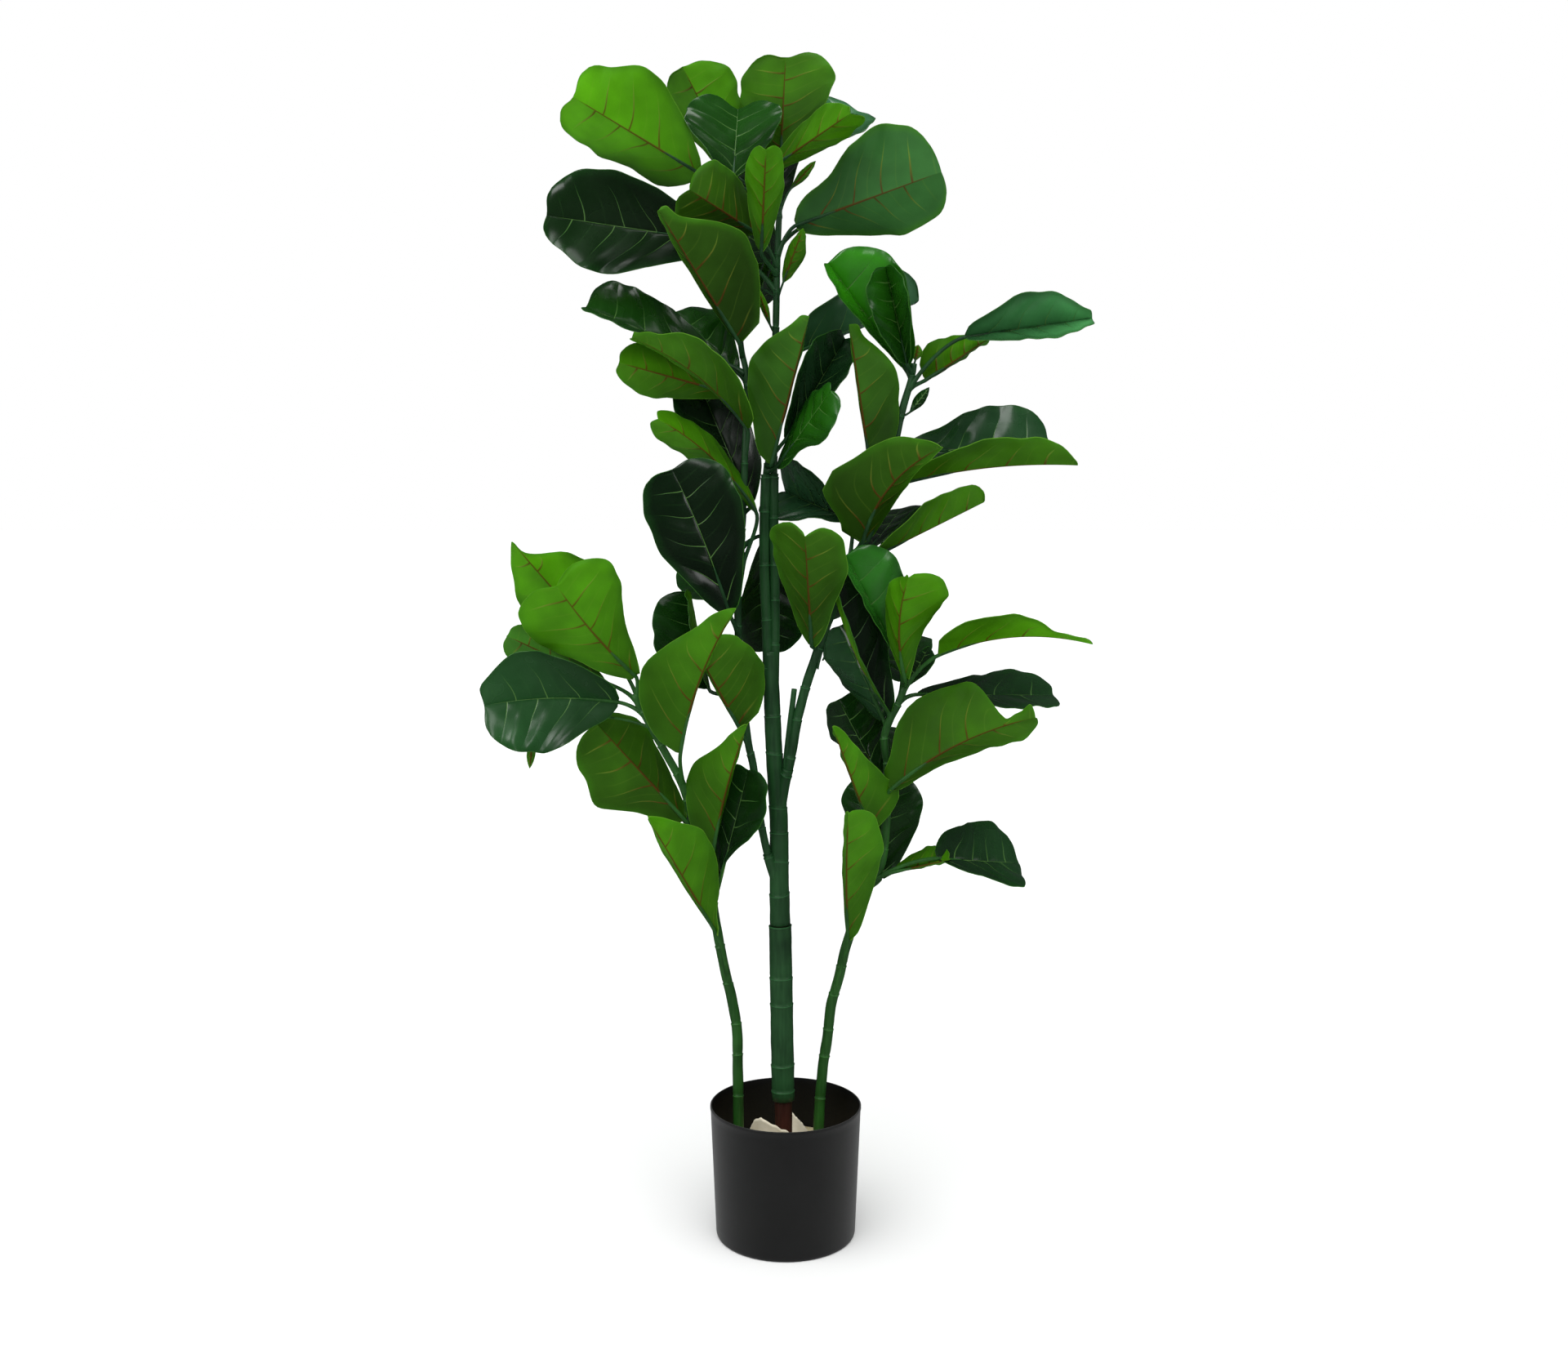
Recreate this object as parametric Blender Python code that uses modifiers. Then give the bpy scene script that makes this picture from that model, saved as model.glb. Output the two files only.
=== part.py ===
"""Artificial fiddle-leaf fig in a nursery pot, as construction solids.

Metres, +Z up, origin on the floor under the middle of the pot. +X is to the right and -Y is
towards the viewer. Places along the stems and leaves are given in millimetres the way they are
seen from the front: across and up as measured on the upright plane through the pot's axis, and
then how far the point stands from that plane towards the viewer. from_front() carries such a
place along the sight line to its real spot.
"""

from collections import namedtuple
from math import acos, cos, exp, pi, radians, sin, sqrt

import bmesh
import bpy
from mathutils import Vector

MM = 0.001
GAP = 0.3 * MM

EYE_DISTANCE = 2030.0
EYE_HEIGHT = 911.0

POT_HEIGHT = 162 * MM
POT_BASE_RADIUS = 88 * MM
POT_RIM_RADIUS = 96 * MM
POT_WALL = 1.8 * MM
POT_FLOOR = 3.0 * MM
POT_LIP_WIDTH = 1.4 * MM
POT_LIP_DEPTH = 7.0 * MM
POT_STEPS = 40

FILLER_TOP = 102 * MM
FILLER_HOLE_DEPTH = 80 * MM

ROD_RADIUS = 11 * MM
ROD_SPIGOT_RADIUS = 6 * MM
ROD_SPIGOT_LENGTH = 44 * MM
TRUNK_FOOT = 168 * MM
TRUNK_STEP = 389 * MM
TRUNK_FOOT_X = -3 * MM
TRUNK_STEP_X = -7 * MM
SLEEVE_RADIUS = 14.5 * MM
SOCKET_DEPTH = 45 * MM

BLADE_THICKNESS = 1.2 * MM
STALK_RADIUS = 2.4 * MM
BLADE_ROWS = 4
BLADE_COLUMNS = 4

SHADE = {
    "pot": ((0.020, 0.020, 0.021), 0.55),
    "filler": ((0.55, 0.49, 0.34), 0.85),
    "cream": ((0.72, 0.66, 0.50), 0.70),
    "rod": ((0.045, 0.012, 0.006), 0.60),
    "bark": ((0.016, 0.065, 0.026), 0.42),
    "leaf": ((0.045, 0.150, 0.014), 0.38),
    "stem": ((0.025, 0.085, 0.020), 0.42),
}

Leaf = namedtuple("Leaf", "name joint base tip left right face halves bow notch broad")


def leaf(name, joint, base, tip, left, right, face="under", halves=(66, 66), bow=0, notch=0.04,
         broad=1.0):
    """One blade, in millimetres and degrees, as it is seen from the front.

    joint is the height on the stem where its stalk starts, base and tip are (across, up, towards)
    of the blade's ends, bow moves the middle of the rib to its left, halves are the widths beside
    the rib. left and right turn each half away from the viewer, 0 being square to the sight line.
    notch dents the tip, 0 makes it pointed; broad below 1 moves the widest place towards the base.
    """
    return Leaf(name, joint, base, tip, left, right, face, halves, bow, notch, broad)


LEFT_STEM_ROUTE = [(-60, 30, -30), (-60, 134, -30), (-61, 215, -30), (-62, 257, -29), (-69, 298, -27),
                   (-77, 330, -24), (-85, 371, -20), (-92, 413, -15), (-90, 439, -12), (-94, 486, -6),
                   (-116, 517, 0), (-132, 569, 8), (-163, 626, 16), (-194, 683, 22)]
RIGHT_STEM_ROUTE = [(39, 30, -26), (42, 134, -26), (47, 205, -26), (53, 246, -26), (58, 288, -25),
                    (68, 324, -24), (78, 366, -21), (102, 434, -14), (123, 475, -8), (130, 579, 6),
                    (126, 631, 12), (144, 673, 18), (152, 694, 20)]
TRUNK_ROUTE = [(-7, 389.6, 0), (-8, 444, 0), (-9, 527, 0), (-14, 600, 0), (-17, 660, 0), (-19, 735, 0)]
CROWN_ROUTE = [(-15, 900, 0), (-15, 965, 0), (-14, 1060, 0), (-12.5, 1151, 0), (-10, 1255, 0),
               (-6, 1333, 0)]
SPRIG_ROUTE = [(-26.5, 900, 1), (-25, 965, 3), (-22, 985, 6)]
LEFT_BRANCH_ROUTE = [(-12.5, 446, 2), (-17, 460, 5), (-23, 480, 8), (-33, 527, 11), (-41, 590, 14),
                     (-49, 631, 16), (-59, 735, 18), (-61, 798, 18), (-59, 839, 16), (-56, 881, 14),
                     (-52, 985, 10), (-49, 1078, 6), (-56, 1120, 3), (-59, 1148, 0)]
RIGHT_BRANCH_ROUTE = [(-8, 535, 2), (-2, 569, 5), (6, 600, 10), (13, 642, 14), (19, 668, 16),
                      (29, 704, 18), (40, 735, 20), (50, 766, 22), (60, 792, 24), (81, 850, 28),
                      (100, 876, 30), (128, 943, 26), (140, 1006, 20), (149, 1047, 15), (160, 1084, 10),
                      (163, 1104, 8)]

CROWN_LEAVES = [
    leaf("far_left", 1300, (-111, 1347, 5), (-285, 1445, 40), 50, 14, halves=(74, 74), notch=0.07),
    leaf("back_left", 1315, (-62, 1344, -65), (-134, 1488, -55), 56, 40, halves=(72, 72)),
    leaf("heart", 1305, (-67, 1338, 22), (-58, 1444, -40), -20, -26, "upper", (66, 68), notch=0.10, broad=0.9),
    leaf("top", 1325, (-7, 1354, -22), (1, 1506, -45), 33, -15, halves=(68, 70), notch=0.08),
    leaf("strap_right", 1318, (-22, 1351, 18), (87, 1426, 95), 56, 64, halves=(50, 50), broad=0.8),
    leaf("behind_right", 1328, (-2, 1366, -32), (96, 1428, -112), 34, -60, "upper", (60, 34)),
    leaf("big_right", 1240, (13, 1280, 10), (200, 1351, 50), 18, 34, halves=(84, 72), broad=0.9),
    leaf("edge_right", 1250, (24, 1279, -15), (80, 1282, -150), 86, -80, "upper", (50, 50)),
    leaf("big_left", 1195, (-100, 1262, -15), (-318, 1291, -20), -26, -12, "upper", (76, 72), broad=0.75),
    leaf("round_left", 1225, (-38, 1271, 18), (-126, 1328, 62), 50, 24, halves=(60, 62), broad=0.8),
    leaf("front_narrow", 1215, (-31, 1247, 38), (-25, 1382, 100), 50, 48, halves=(36, 36), broad=0.8),
    leaf("small_right", 1178, (-3, 1208, 14), (22, 1276, 26), 58, 50, halves=(18, 22), notch=0),
    leaf("bud", 1290, (6, 1326, 4), (38, 1362, 10), 55, 55, halves=(10, 10), notch=0),
    leaf("bract", 1140, (-19, 1151, 6), (-36, 1201, 12), 50, 40, halves=(7, 7), notch=0),
    leaf("long_behind", 1085, (13, 1118, -30), (176, 1187, -95), -12, 85, "upper", (60, 44)),
    leaf("rear_up", 1290, (-8, 1303, -22), (-50, 1400, -165), 10, 10, "upper", (58, 58)),
    leaf("rear_left", 1200, (-14, 1240, -18), (-95, 1305, -175), 10, 10, "upper", (56, 56)),
    leaf("rear_low", 1170, (-14, 1190, -16), (-70, 1225, -165), 10, 10, "upper", (54, 54)),
]

SPRIG_LEAVES = [
    leaf("centre", 974, (-18, 976, 26), (30, 1166, 70), 20, 86, halves=(60, 28), broad=0.75),
    leaf("mid_green", 965, (-10, 974, 14), (60, 1074, 80), 62, -50, "upper", (42, 46)),
    leaf("dark_rimmed", 975, (0, 1008, 14), (79, 1141, -40), -50, -62, "upper", (58, 58)),
]

LEFT_BRANCH_LEAVES = [
    leaf("top_front", 1135, (-63, 1160, 20), (-157, 1292, 110), 70, 8, halves=(20, 78), notch=0.01,
         broad=0.6),
    leaf("dark_strap", 1090, (-94, 1110, -16), (-261, 1179, -24), -80, 38, "upper", (24, 68), broad=0.9),
    leaf("dark_behind", 1075, (-62, 1093, -25), (-142, 1174, -60), 20, 60, "upper", (50, 50)),
    leaf("wavy", 985, (-49, 1021, 16), (-203, 1140, 40), 80, -57, halves=(22, 74), bow=-15, broad=0.7),
    leaf("blunt", 1040, (-70, 1066, -18), (-218, 1107, -10), 42, 42, halves=(44, 44)),
    leaf("shade", 930, (-56, 943, -26), (-118, 1098, -95), -35, -30, "upper", (52, 52)),
    leaf("twisted", 885, (-38, 916, 20), (-169, 1037, 70), 64, 64, halves=(50, 50), bow=-12),
    leaf("big_dark", 757, (-72, 787, 40), (-148, 977, 60), -15, -18, "upper", (68, 68), bow=-4),
    leaf("behind_trunk", 868, (-25, 880, -32), (-22, 732, -42), 25, 40, "upper", (50, 50)),
    leaf("rolled_edge", 676, (-98, 690, -8), (-122, 828, -55), -25, -100, "upper", (60, 46)),
    leaf("lower_front", 600, (-59, 640, 24), (-130, 775, 62), 70, 15, halves=(16, 72), notch=0.01,
         broad=0.55),
    leaf("rear_low", 780, (-66, 800, -8), (-112, 868, -155), 10, 10, "upper", (52, 52)),
]

LEFT_STEM_LEAVES = [
    leaf("front_fold", 568, (-134, 608, 50), (-64, 792, 95), 15, 80, halves=(72, 18), bow=10, notch=0,
         broad=0.62),
    leaf("bright", 675, (-191, 706, 22), (-298, 831, 70), 24, 14, halves=(70, 70), bow=5, notch=0.1, broad=1.2),
    leaf("pointed", 665, (-215, 725, -20), (-349, 877, -5), 34, 38, halves=(62, 70), notch=0),
    leaf("small_lobe", 670, (-231, 699, -30), (-360, 760, -40), 50, 50, halves=(46, 46)),
    leaf("big_dark", 655, (-213, 673, 10), (-391, 667, 30), -16, -33, "upper", (66, 70), bow=-8, broad=0.8),
    leaf("broad", 500, (-129, 524, 8), (-244, 649, 0), 22, 50, halves=(68, 66), notch=0.02),
    leaf("low_front", 342, (-88, 378, 2), (-175, 525, 85), 75, 44, halves=(22, 72), notch=0.01, broad=0.55),
    leaf("upright", 455, (-93, 480, 24), (-49, 645, 62), 31, 80, halves=(62, 18), bow=4, notch=0, broad=0.65),
    leaf("dark_inner", 415, (-86, 436, 12), (-46, 593, 34), 30, -52, "upper", (40, 54)),
    leaf("hanging", 640, (-322, 628, -18), (-326, 589, -16), 20, 20, halves=(6, 6), notch=0),
    leaf("rear_up", 470, (-99, 505, -16), (-108, 556, -150), 10, 10, "upper", (36, 42)),
]

RIGHT_BRANCH_LEAVES = [
    leaf("cupped_back", 1085, (152, 1098, 6), (50, 1238, 30), -74, -14, "upper", (44, 74), broad=0.9),
    leaf("cupped_front", 1090, (154, 1105, 22), (128, 1233, 52), -53, -60, "upper", (54, 54), broad=0.85),
    leaf("reach_under", 1070, (178, 1083, 10), (263, 1139, 25), 45, 86, halves=(52, 50), broad=0.5),
    leaf("reach_upper", 1068, (229, 1138, 24), (397, 1163, 60), -40, -72, "upper", (56, 50), broad=0.8),
    leaf("small_side", 1035, (158, 1042, 12), (183, 1074, 8), 40, 40, "upper", (9, 9), notch=0),
    leaf("bud", 1098, (165, 1108, 8), (169, 1128, 6), 20, 20, "under", (8, 8), notch=0),
    leaf("inner_strap", 925, (110, 954, 45), (81, 1156, 70), 80, 33, halves=(20, 62), notch=0.01, broad=0.7),
    leaf("dark_reach", 955, (147, 989, 10), (343, 1006, -40), 37, -40, "upper", (66, 45)),
    leaf("front_two_lobes", 868, (98, 876, 38), (199, 998, 112), 5, 60, halves=(84, 34), bow=18, notch=0.01,
         broad=0.6),
    leaf("long_reach", 935, (156, 954, 38), (374, 975, 70), -57, 118, halves=(62, 62), bow=8, notch=0.01,
         broad=0.7),
    leaf("lower_reach", 862, (117, 861, 26), (258, 931, 10), -53, 128, halves=(60, 60)),
    leaf("small_dark", 866, (106, 866, 12), (149, 922, -80), 55, -60, "upper", (44, 44)),
    leaf("grey_rims", 850, (81, 905, -4), (-4, 943, -90), -48, -52, "upper", (62, 62)),
    leaf("heart_front", 740, (33, 745, 32), (24, 895, 128), 48, 5, halves=(62, 50), notch=0.07),
    leaf("rear_low", 755, (50, 775, 0), (62, 840, -145), 10, 10, "upper", (34, 44)),
]

RIGHT_STEM_LEAVES = [
    leaf("long_dark", 640, (131, 660, 18), (55, 845, 47), -105, 15, "upper", (22, 56), bow=11, broad=0.85),
    leaf("mid_green", 694, (147, 722, 26), (74, 866, 38), -78, -10, "upper", (36, 54)),
    leaf("grey_side", 630, (125, 650, -10), (66, 775, -30), 54, 40, "upper", (58, 58)),
    leaf("dark_side", 545, (126, 564, -15), (65, 681, -40), 61, 36, "upper", (62, 62)),
    leaf("bright", 694, (152, 702, 50), (158, 836, 115), 60, 36, halves=(38, 64), bow=10, broad=1.2),
    leaf("small_dark", 690, (156, 694, 0), (183, 744, -30), 50, -50, "upper", (24, 24), notch=0),
    leaf("long_reach", 685, (195, 733, 35), (391, 747, 60), -63, 113, halves=(60, 60), bow=16, notch=0,
         broad=0.55),
    leaf("dark_reach", 672, (169, 683, 0), (348, 682, -20), 58, -74, "upper", (60, 60)),
    leaf("big_front", 545, (133, 561, 30), (314, 652, 80), 14, 74, halves=(80, 60), bow=13, notch=0.02,
         broad=0.6),
    leaf("dark_low", 432, (121, 449, -20), (128, 584, -60), 30, 30, "upper", (60, 62), broad=0.85),
    leaf("fold_front", 490, (108, 509, 20), (60, 642, 80), 88, 50, halves=(50, 60), notch=0, broad=0.45),
    leaf("low_front", 335, (79, 371, 6), (80, 533, 85), 75, 30, halves=(20, 54), bow=2, notch=0, broad=0.65),
    leaf("twist_under", 440, (139, 457, 0), (211, 473, 10), 58, 85, halves=(40, 30), broad=0.7),
    leaf("twist_upper", 440, (193, 474, 4), (301, 468, -66), 32, -60, "upper", (60, 60)),
    leaf("rear_up", 680, (148, 700, -6), (142, 768, -150), 10, 10, "upper", (46, 46)),
    leaf("rear_low", 578, (132, 592, -10), (152, 640, -150), 10, 10, "upper", (34, 48)),
]


def from_front(place):
    """Carry (across, up, towards), in millimetres, along its sight line to metres."""
    across, up, towards = place
    nearer = (EYE_DISTANCE - towards) / EYE_DISTANCE
    return Vector((across * nearer, -towards, EYE_HEIGHT + (up - EYE_HEIGHT) * nearer)) * MM


def clear_scene():
    for old in list(bpy.data.objects):
        bpy.data.objects.remove(old)


def collection(name):
    made = bpy.data.collections.new(name)
    bpy.context.scene.collection.children.link(made)
    return made


def finish_of(shade):
    colour, roughness = SHADE[shade]
    made = bpy.data.materials.get(shade) or bpy.data.materials.new(shade)
    made.use_nodes = True
    surface = made.node_tree.nodes["Principled BSDF"]
    surface.inputs["Base Color"].default_value = (*colour, 1)
    surface.inputs["Roughness"].default_value = roughness
    surface.inputs["Metallic"].default_value = 0
    return made


def mesh_object(name, mesh, group, shade):
    made = bpy.data.objects.new(name, mesh)
    mesh.materials.clear()
    mesh.materials.append(finish_of(shade))
    group.objects.link(made)
    return made


def applied(source, name, group, shade, weld=True):
    """A plain mesh object with the modifiers or curve of another one carried out."""
    bpy.context.view_layer.update()
    evaluated = source.evaluated_get(bpy.context.evaluated_depsgraph_get())
    mesh = bpy.data.meshes.new_from_object(evaluated)
    place = source.matrix_world.copy()
    bpy.data.objects.remove(source)
    if weld:
        shell = bmesh.new()
        shell.from_mesh(mesh)
        bmesh.ops.remove_doubles(shell, verts=shell.verts, dist=1e-6)
        shell.to_mesh(mesh)
        shell.free()
    made = mesh_object(name, mesh, group, shade)
    made.matrix_world = place
    return made


def turned(name, profile, group, shade, steps=POT_STEPS):
    """A body of revolution; the profile runs down its outer side."""
    mesh = bpy.data.meshes.new(name)
    edges = [(i, i + 1) for i in range(len(profile) - 1)]
    mesh.from_pydata([(radius, 0, height) for radius, height in profile], edges, [])
    made = mesh_object(name, mesh, group, shade)
    screw = made.modifiers.new("turn", "SCREW")
    screw.steps = screw.render_steps = steps
    screw.use_merge_vertices = True
    screw.merge_threshold = 1e-5
    made_solid = applied(made, name, group, shade)
    made_solid.data.shade_smooth()
    made_solid.data.set_sharp_from_angle(angle=radians(35))
    return made_solid


def rod_between(name, points, radii, group, shade, rounding=4):
    """A capped tube through the points, with its own radius at each."""
    curve = bpy.data.curves.new(name, "CURVE")
    curve.dimensions = "3D"
    curve.bevel_depth = 1.0
    curve.bevel_resolution = rounding
    curve.use_fill_caps = True
    spline = curve.splines.new("POLY")
    spline.points.add(len(points) - 1)
    for knot, point, radius in zip(spline.points, points, radii):
        knot.co = (*point, 1)
        knot.radius = radius
    made = bpy.data.objects.new(name, curve)
    group.objects.link(made)
    solid = applied(made, name, group, shade)
    solid.data.shade_smooth()
    return solid


def joined(target, group, operation="UNION", solver="MANIFOLD"):
    """Carry out one Boolean of the target with every object of a collection, then drop those."""
    boolean = target.modifiers.new("join", "BOOLEAN")
    boolean.operand_type = "COLLECTION"
    boolean.collection = group
    boolean.operation = operation
    boolean.solver = solver
    name, home, shade = target.name, target.users_collection[0], target.data.materials[0].name
    result = applied(target, name, home, shade, weld=False)
    for used in list(group.objects):
        bpy.data.objects.remove(used)
    bpy.data.collections.remove(group)
    return result


def without_crumbs(solid):
    """Drop the crumbs that a union can leave beside the one large shell."""
    shell = bmesh.new()
    shell.from_mesh(solid.data)
    waiting = set(shell.faces)
    groups = []
    while waiting:
        found = [waiting.pop()]
        for face in found:
            for edge in face.edges:
                for other in edge.link_faces:
                    if other in waiting:
                        waiting.discard(other)
                        found.append(other)
        groups.append(found)
    groups.sort(key=len)
    crumbs = [face for group in groups[:-1] for face in group]
    bmesh.ops.delete(shell, geom=crumbs, context="FACES")
    shell.to_mesh(solid.data)
    shell.free()
    return solid


def along(route, height):
    """The point of a route, as seen from the front, at a height in millimetres."""
    for lower, upper in zip(route, route[1:]):
        if height <= upper[1] or upper is route[-1]:
            part = (height - lower[1]) / (upper[1] - lower[1])
            part = min(max(part, 0), 1)
            return tuple(a + (b - a) * part for a, b in zip(lower, upper))
    return route[-1]


def blade_width(shape, t):
    """Share of the half width at t from base to tip: slight waist, broad shoulders, blunt end."""
    t = t ** shape.broad
    blunt = 0.97 if shape.notch > 0.01 else 0.985 if shape.notch else 0.997
    swell = t ** 0.72 * sqrt(1 - (blunt * t) ** 4.5) / 0.69
    waist = 0.07 * exp(-((t - 0.36) / 0.14) ** 2)
    return 0.09 + 0.91 * swell - waist


class Blade:
    """The surface of one leaf: a rib curve with two halves hinged on it."""

    def __init__(self, shape):
        self.shape = shape
        self.base = from_front(shape.base)
        self.tip = from_front(shape.tip)
        run = self.tip - self.base
        self.length = run.length
        eye = Vector((0, -EYE_DISTANCE, EYE_HEIGHT)) * MM
        self.to_eye = (eye - (self.base + self.tip) / 2).normalized()
        left = self.to_eye.cross(run.normalized()).normalized()
        self.middle = (self.base + self.tip) / 2 + left * shape.bow * MM * 2

    def rib(self, t):
        return (1 - t) ** 2 * self.base + 2 * t * (1 - t) * self.middle + t * t * self.tip

    def heading(self, t):
        return ((1 - t) * (self.middle - self.base) + t * (self.tip - self.middle)).normalized()

    def point(self, t, s):
        """t runs from base to tip, s from -1 at the left margin to 1 at the right one."""
        shape = self.shape
        ahead = self.heading(t)
        facing = (self.to_eye - ahead * self.to_eye.dot(ahead)).normalized()
        left = facing.cross(ahead)
        turn = radians(shape.left if s < 0 else shape.right)
        out = (left if s < 0 else -left) * cos(turn) - facing * sin(turn)
        half = (shape.halves[0] if s < 0 else shape.halves[1]) * MM
        across = abs(s) * half * blade_width(shape, t)
        lobes = self.length * t ** 5 * (0.10 * s * s + shape.notch * exp(-(s / 0.4) ** 2))
        curl = facing * (sin(turn) * 0 + 0.10) * half * s * s * (0.5 - t)
        wave = facing * 0.05 * half * s * s * sin(2 * pi * (1.6 * t + 0.2 * s))
        return self.rib(t) + out * across - ahead * lobes + curl + wave


def blade_solid(shape, group, shade):
    """A thin closed blade: an open sheet on the leaf's surface, thickened to both sides."""
    blade = Blade(shape)
    small = max(shape.halves) < 30
    columns = 2 if small else BLADE_COLUMNS
    rows = 4 if small else BLADE_ROWS
    sheet = bmesh.new()
    bmesh.ops.create_grid(sheet, x_segments=columns, y_segments=rows, size=1)
    for corner in sheet.verts:
        t = (corner.co.y + 1) / 2
        t = (t + sin(t * pi / 2)) / 2
        corner.co = blade.point(t, corner.co.x)
    bmesh.ops.triangulate(sheet, faces=sheet.faces[:], quad_method="SHORT_EDGE")
    mesh = bpy.data.meshes.new(shape.name)
    sheet.to_mesh(mesh)
    sheet.free()
    open_sheet = mesh_object(shape.name, mesh, group, shade)
    thicken = open_sheet.modifiers.new("thicken", "SOLIDIFY")
    thicken.thickness = BLADE_THICKNESS
    thicken.offset = 0
    return applied(open_sheet, shape.name, group, shade)


def stalk_solid(shape, route, group, shade):
    """The stalk from the stem to the blade, running on as the rib for the first third."""
    blade = Blade(shape)
    start = from_front(along(route, shape.joint))
    reach = (blade.base - start).length
    rise = Vector((0, 0, 1)) * reach * 0.35
    approach = blade.base - blade.heading(0) * reach * 0.35
    points = []
    for part in (0.0, 0.5):
        points.append((1 - part) ** 3 * start + 3 * part * (1 - part) ** 2 * (start + rise)
                      + 3 * part ** 2 * (1 - part) * approach + part ** 3 * blade.base)
    points += [blade.rib(0.02), blade.rib(0.10)]
    thick = STALK_RADIUS if max(shape.halves) > 30 else STALK_RADIUS * 0.6
    radii = [thick * 1.2, thick, thick, thick * 0.6]
    return rod_between(shape.name + "_stalk", points, radii, group, shade, rounding=0)


def leafy_stem(name, route, radius, leaves, group, shade="leaf", foot=None):
    """A stem with its stalks and blades joined into one closed body."""
    points = [from_front(place) for place in route]
    radii = [radius] * (len(points) - 1) + [radius * 0.7]
    stem = rod_between(name, points, radii, group, shade, rounding=2)
    growth = collection(name + "_growth")
    for shape in leaves:
        blade_solid(shape, growth, shade)
        stalk_solid(shape, route, growth, shade)
    return without_crumbs(joined(stem, growth))


def pot_radius(height):
    """Outer radius of the pot's wall at a height."""
    return POT_BASE_RADIUS + (POT_RIM_RADIUS - POT_LIP_WIDTH - POT_BASE_RADIUS) * height / POT_HEIGHT


def make_pot(group):
    inner_floor = pot_radius(POT_FLOOR) - POT_WALL
    lip_foot = POT_HEIGHT - POT_LIP_DEPTH
    outline = [
        (0, POT_FLOOR),
        (inner_floor, POT_FLOOR),
        (pot_radius(POT_HEIGHT) - POT_WALL, POT_HEIGHT - 0.5 * MM),
        (pot_radius(POT_HEIGHT) - POT_WALL + 0.5 * MM, POT_HEIGHT),
        (POT_RIM_RADIUS - 0.5 * MM, POT_HEIGHT),
        (POT_RIM_RADIUS, POT_HEIGHT - 0.6 * MM),
        (POT_RIM_RADIUS - 0.2 * MM, lip_foot + 0.6 * MM),
        (pot_radius(lip_foot), lip_foot),
        (pot_radius(2 * MM), 2 * MM),
        (pot_radius(0) - 1.2 * MM, 0),
        (0, 0),
    ]
    return turned("pot", outline, group, "pot")


def make_filler(group):
    bottom = POT_FLOOR + GAP
    foot_radius = pot_radius(bottom) - POT_WALL - 2 * GAP
    top_radius = pot_radius(FILLER_TOP) - POT_WALL - 2 * GAP
    outline = [(0, FILLER_TOP), (top_radius * 0.94, FILLER_TOP), (top_radius, FILLER_TOP - 1.5 * MM),
               (foot_radius, bottom), (0, bottom)]
    weight = turned("filler", outline, group, "filler")
    cutters = collection("filler_holes")
    for name, route, radius in (("left_hole", LEFT_STEM_ROUTE, 7.0), ("right_hole", RIGHT_STEM_ROUTE, 7.0)):
        points = [from_front(place) for place in route[:3]]
        points[0] = points[0] + (points[0] - points[1]).normalized() * GAP
        rod_between(name, points, [radius * MM + GAP] * 3, cutters, "filler", rounding=2)
    low = rod_axis(FILLER_TOP - FILLER_HOLE_DEPTH - GAP)
    rod_between("rod_hole", [low, rod_axis(FILLER_TOP + 20 * MM)], [ROD_RADIUS + GAP] * 2, cutters,
                "filler", rounding=6)
    return joined(weight, cutters, "DIFFERENCE")


def rod_axis(height):
    """The straight, slightly leaning axis that the core rod and the lower sleeve share."""
    share = (height - TRUNK_FOOT) / (TRUNK_STEP - TRUNK_FOOT)
    return Vector((TRUNK_FOOT_X + (TRUNK_STEP_X - TRUNK_FOOT_X) * share, 0, height))


def make_core_rod(group):
    heights = [FILLER_TOP - FILLER_HOLE_DEPTH, TRUNK_STEP - 4 * MM, TRUNK_STEP - 1 * MM,
               TRUNK_STEP + ROD_SPIGOT_LENGTH]
    radii = [ROD_RADIUS, ROD_RADIUS, ROD_SPIGOT_RADIUS, ROD_SPIGOT_RADIUS]
    return rod_between("core_rod", [rod_axis(h) for h in heights], radii, group, "rod", rounding=6)


def ringed(heights, radius, rings, low, high):
    """Heights and radii of a sleeve with a raised ring at each seam."""
    places = [(low, radius), (high, radius)]
    for seam in rings:
        places += [(seam - 3 * MM, radius), (seam, radius + 0.9 * MM), (seam + 1 * MM, radius - 0.3 * MM)]
    places += [(h, radius) for h in heights]
    return sorted(places)


def make_trunk_sleeve(group):
    seams = [178 * MM, 210 * MM, 286 * MM, 322 * MM]
    places = ringed([], SLEEVE_RADIUS, seams, TRUNK_FOOT, TRUNK_STEP)
    sleeve = rod_between("trunk_sleeve", [rod_axis(h) for h, _ in places], [r for _, r in places], group,
                         "bark", rounding=4)
    cutters = collection("sleeve_bore")
    rod_between("bore", [rod_axis(TRUNK_FOOT - 20 * MM), rod_axis(TRUNK_STEP + 20 * MM)],
                [ROD_RADIUS + GAP] * 2, cutters, "bark", rounding=6)
    return joined(sleeve, cutters, "DIFFERENCE")


def offset_route(route, count, radius):
    """Points and radii of a cutter that follows the first points of a route."""
    points = [from_front(place) for place in route[:count]]
    points[0] = points[0] + (points[0] - points[1]).normalized() * GAP
    return points, [radius + GAP] * count


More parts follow.
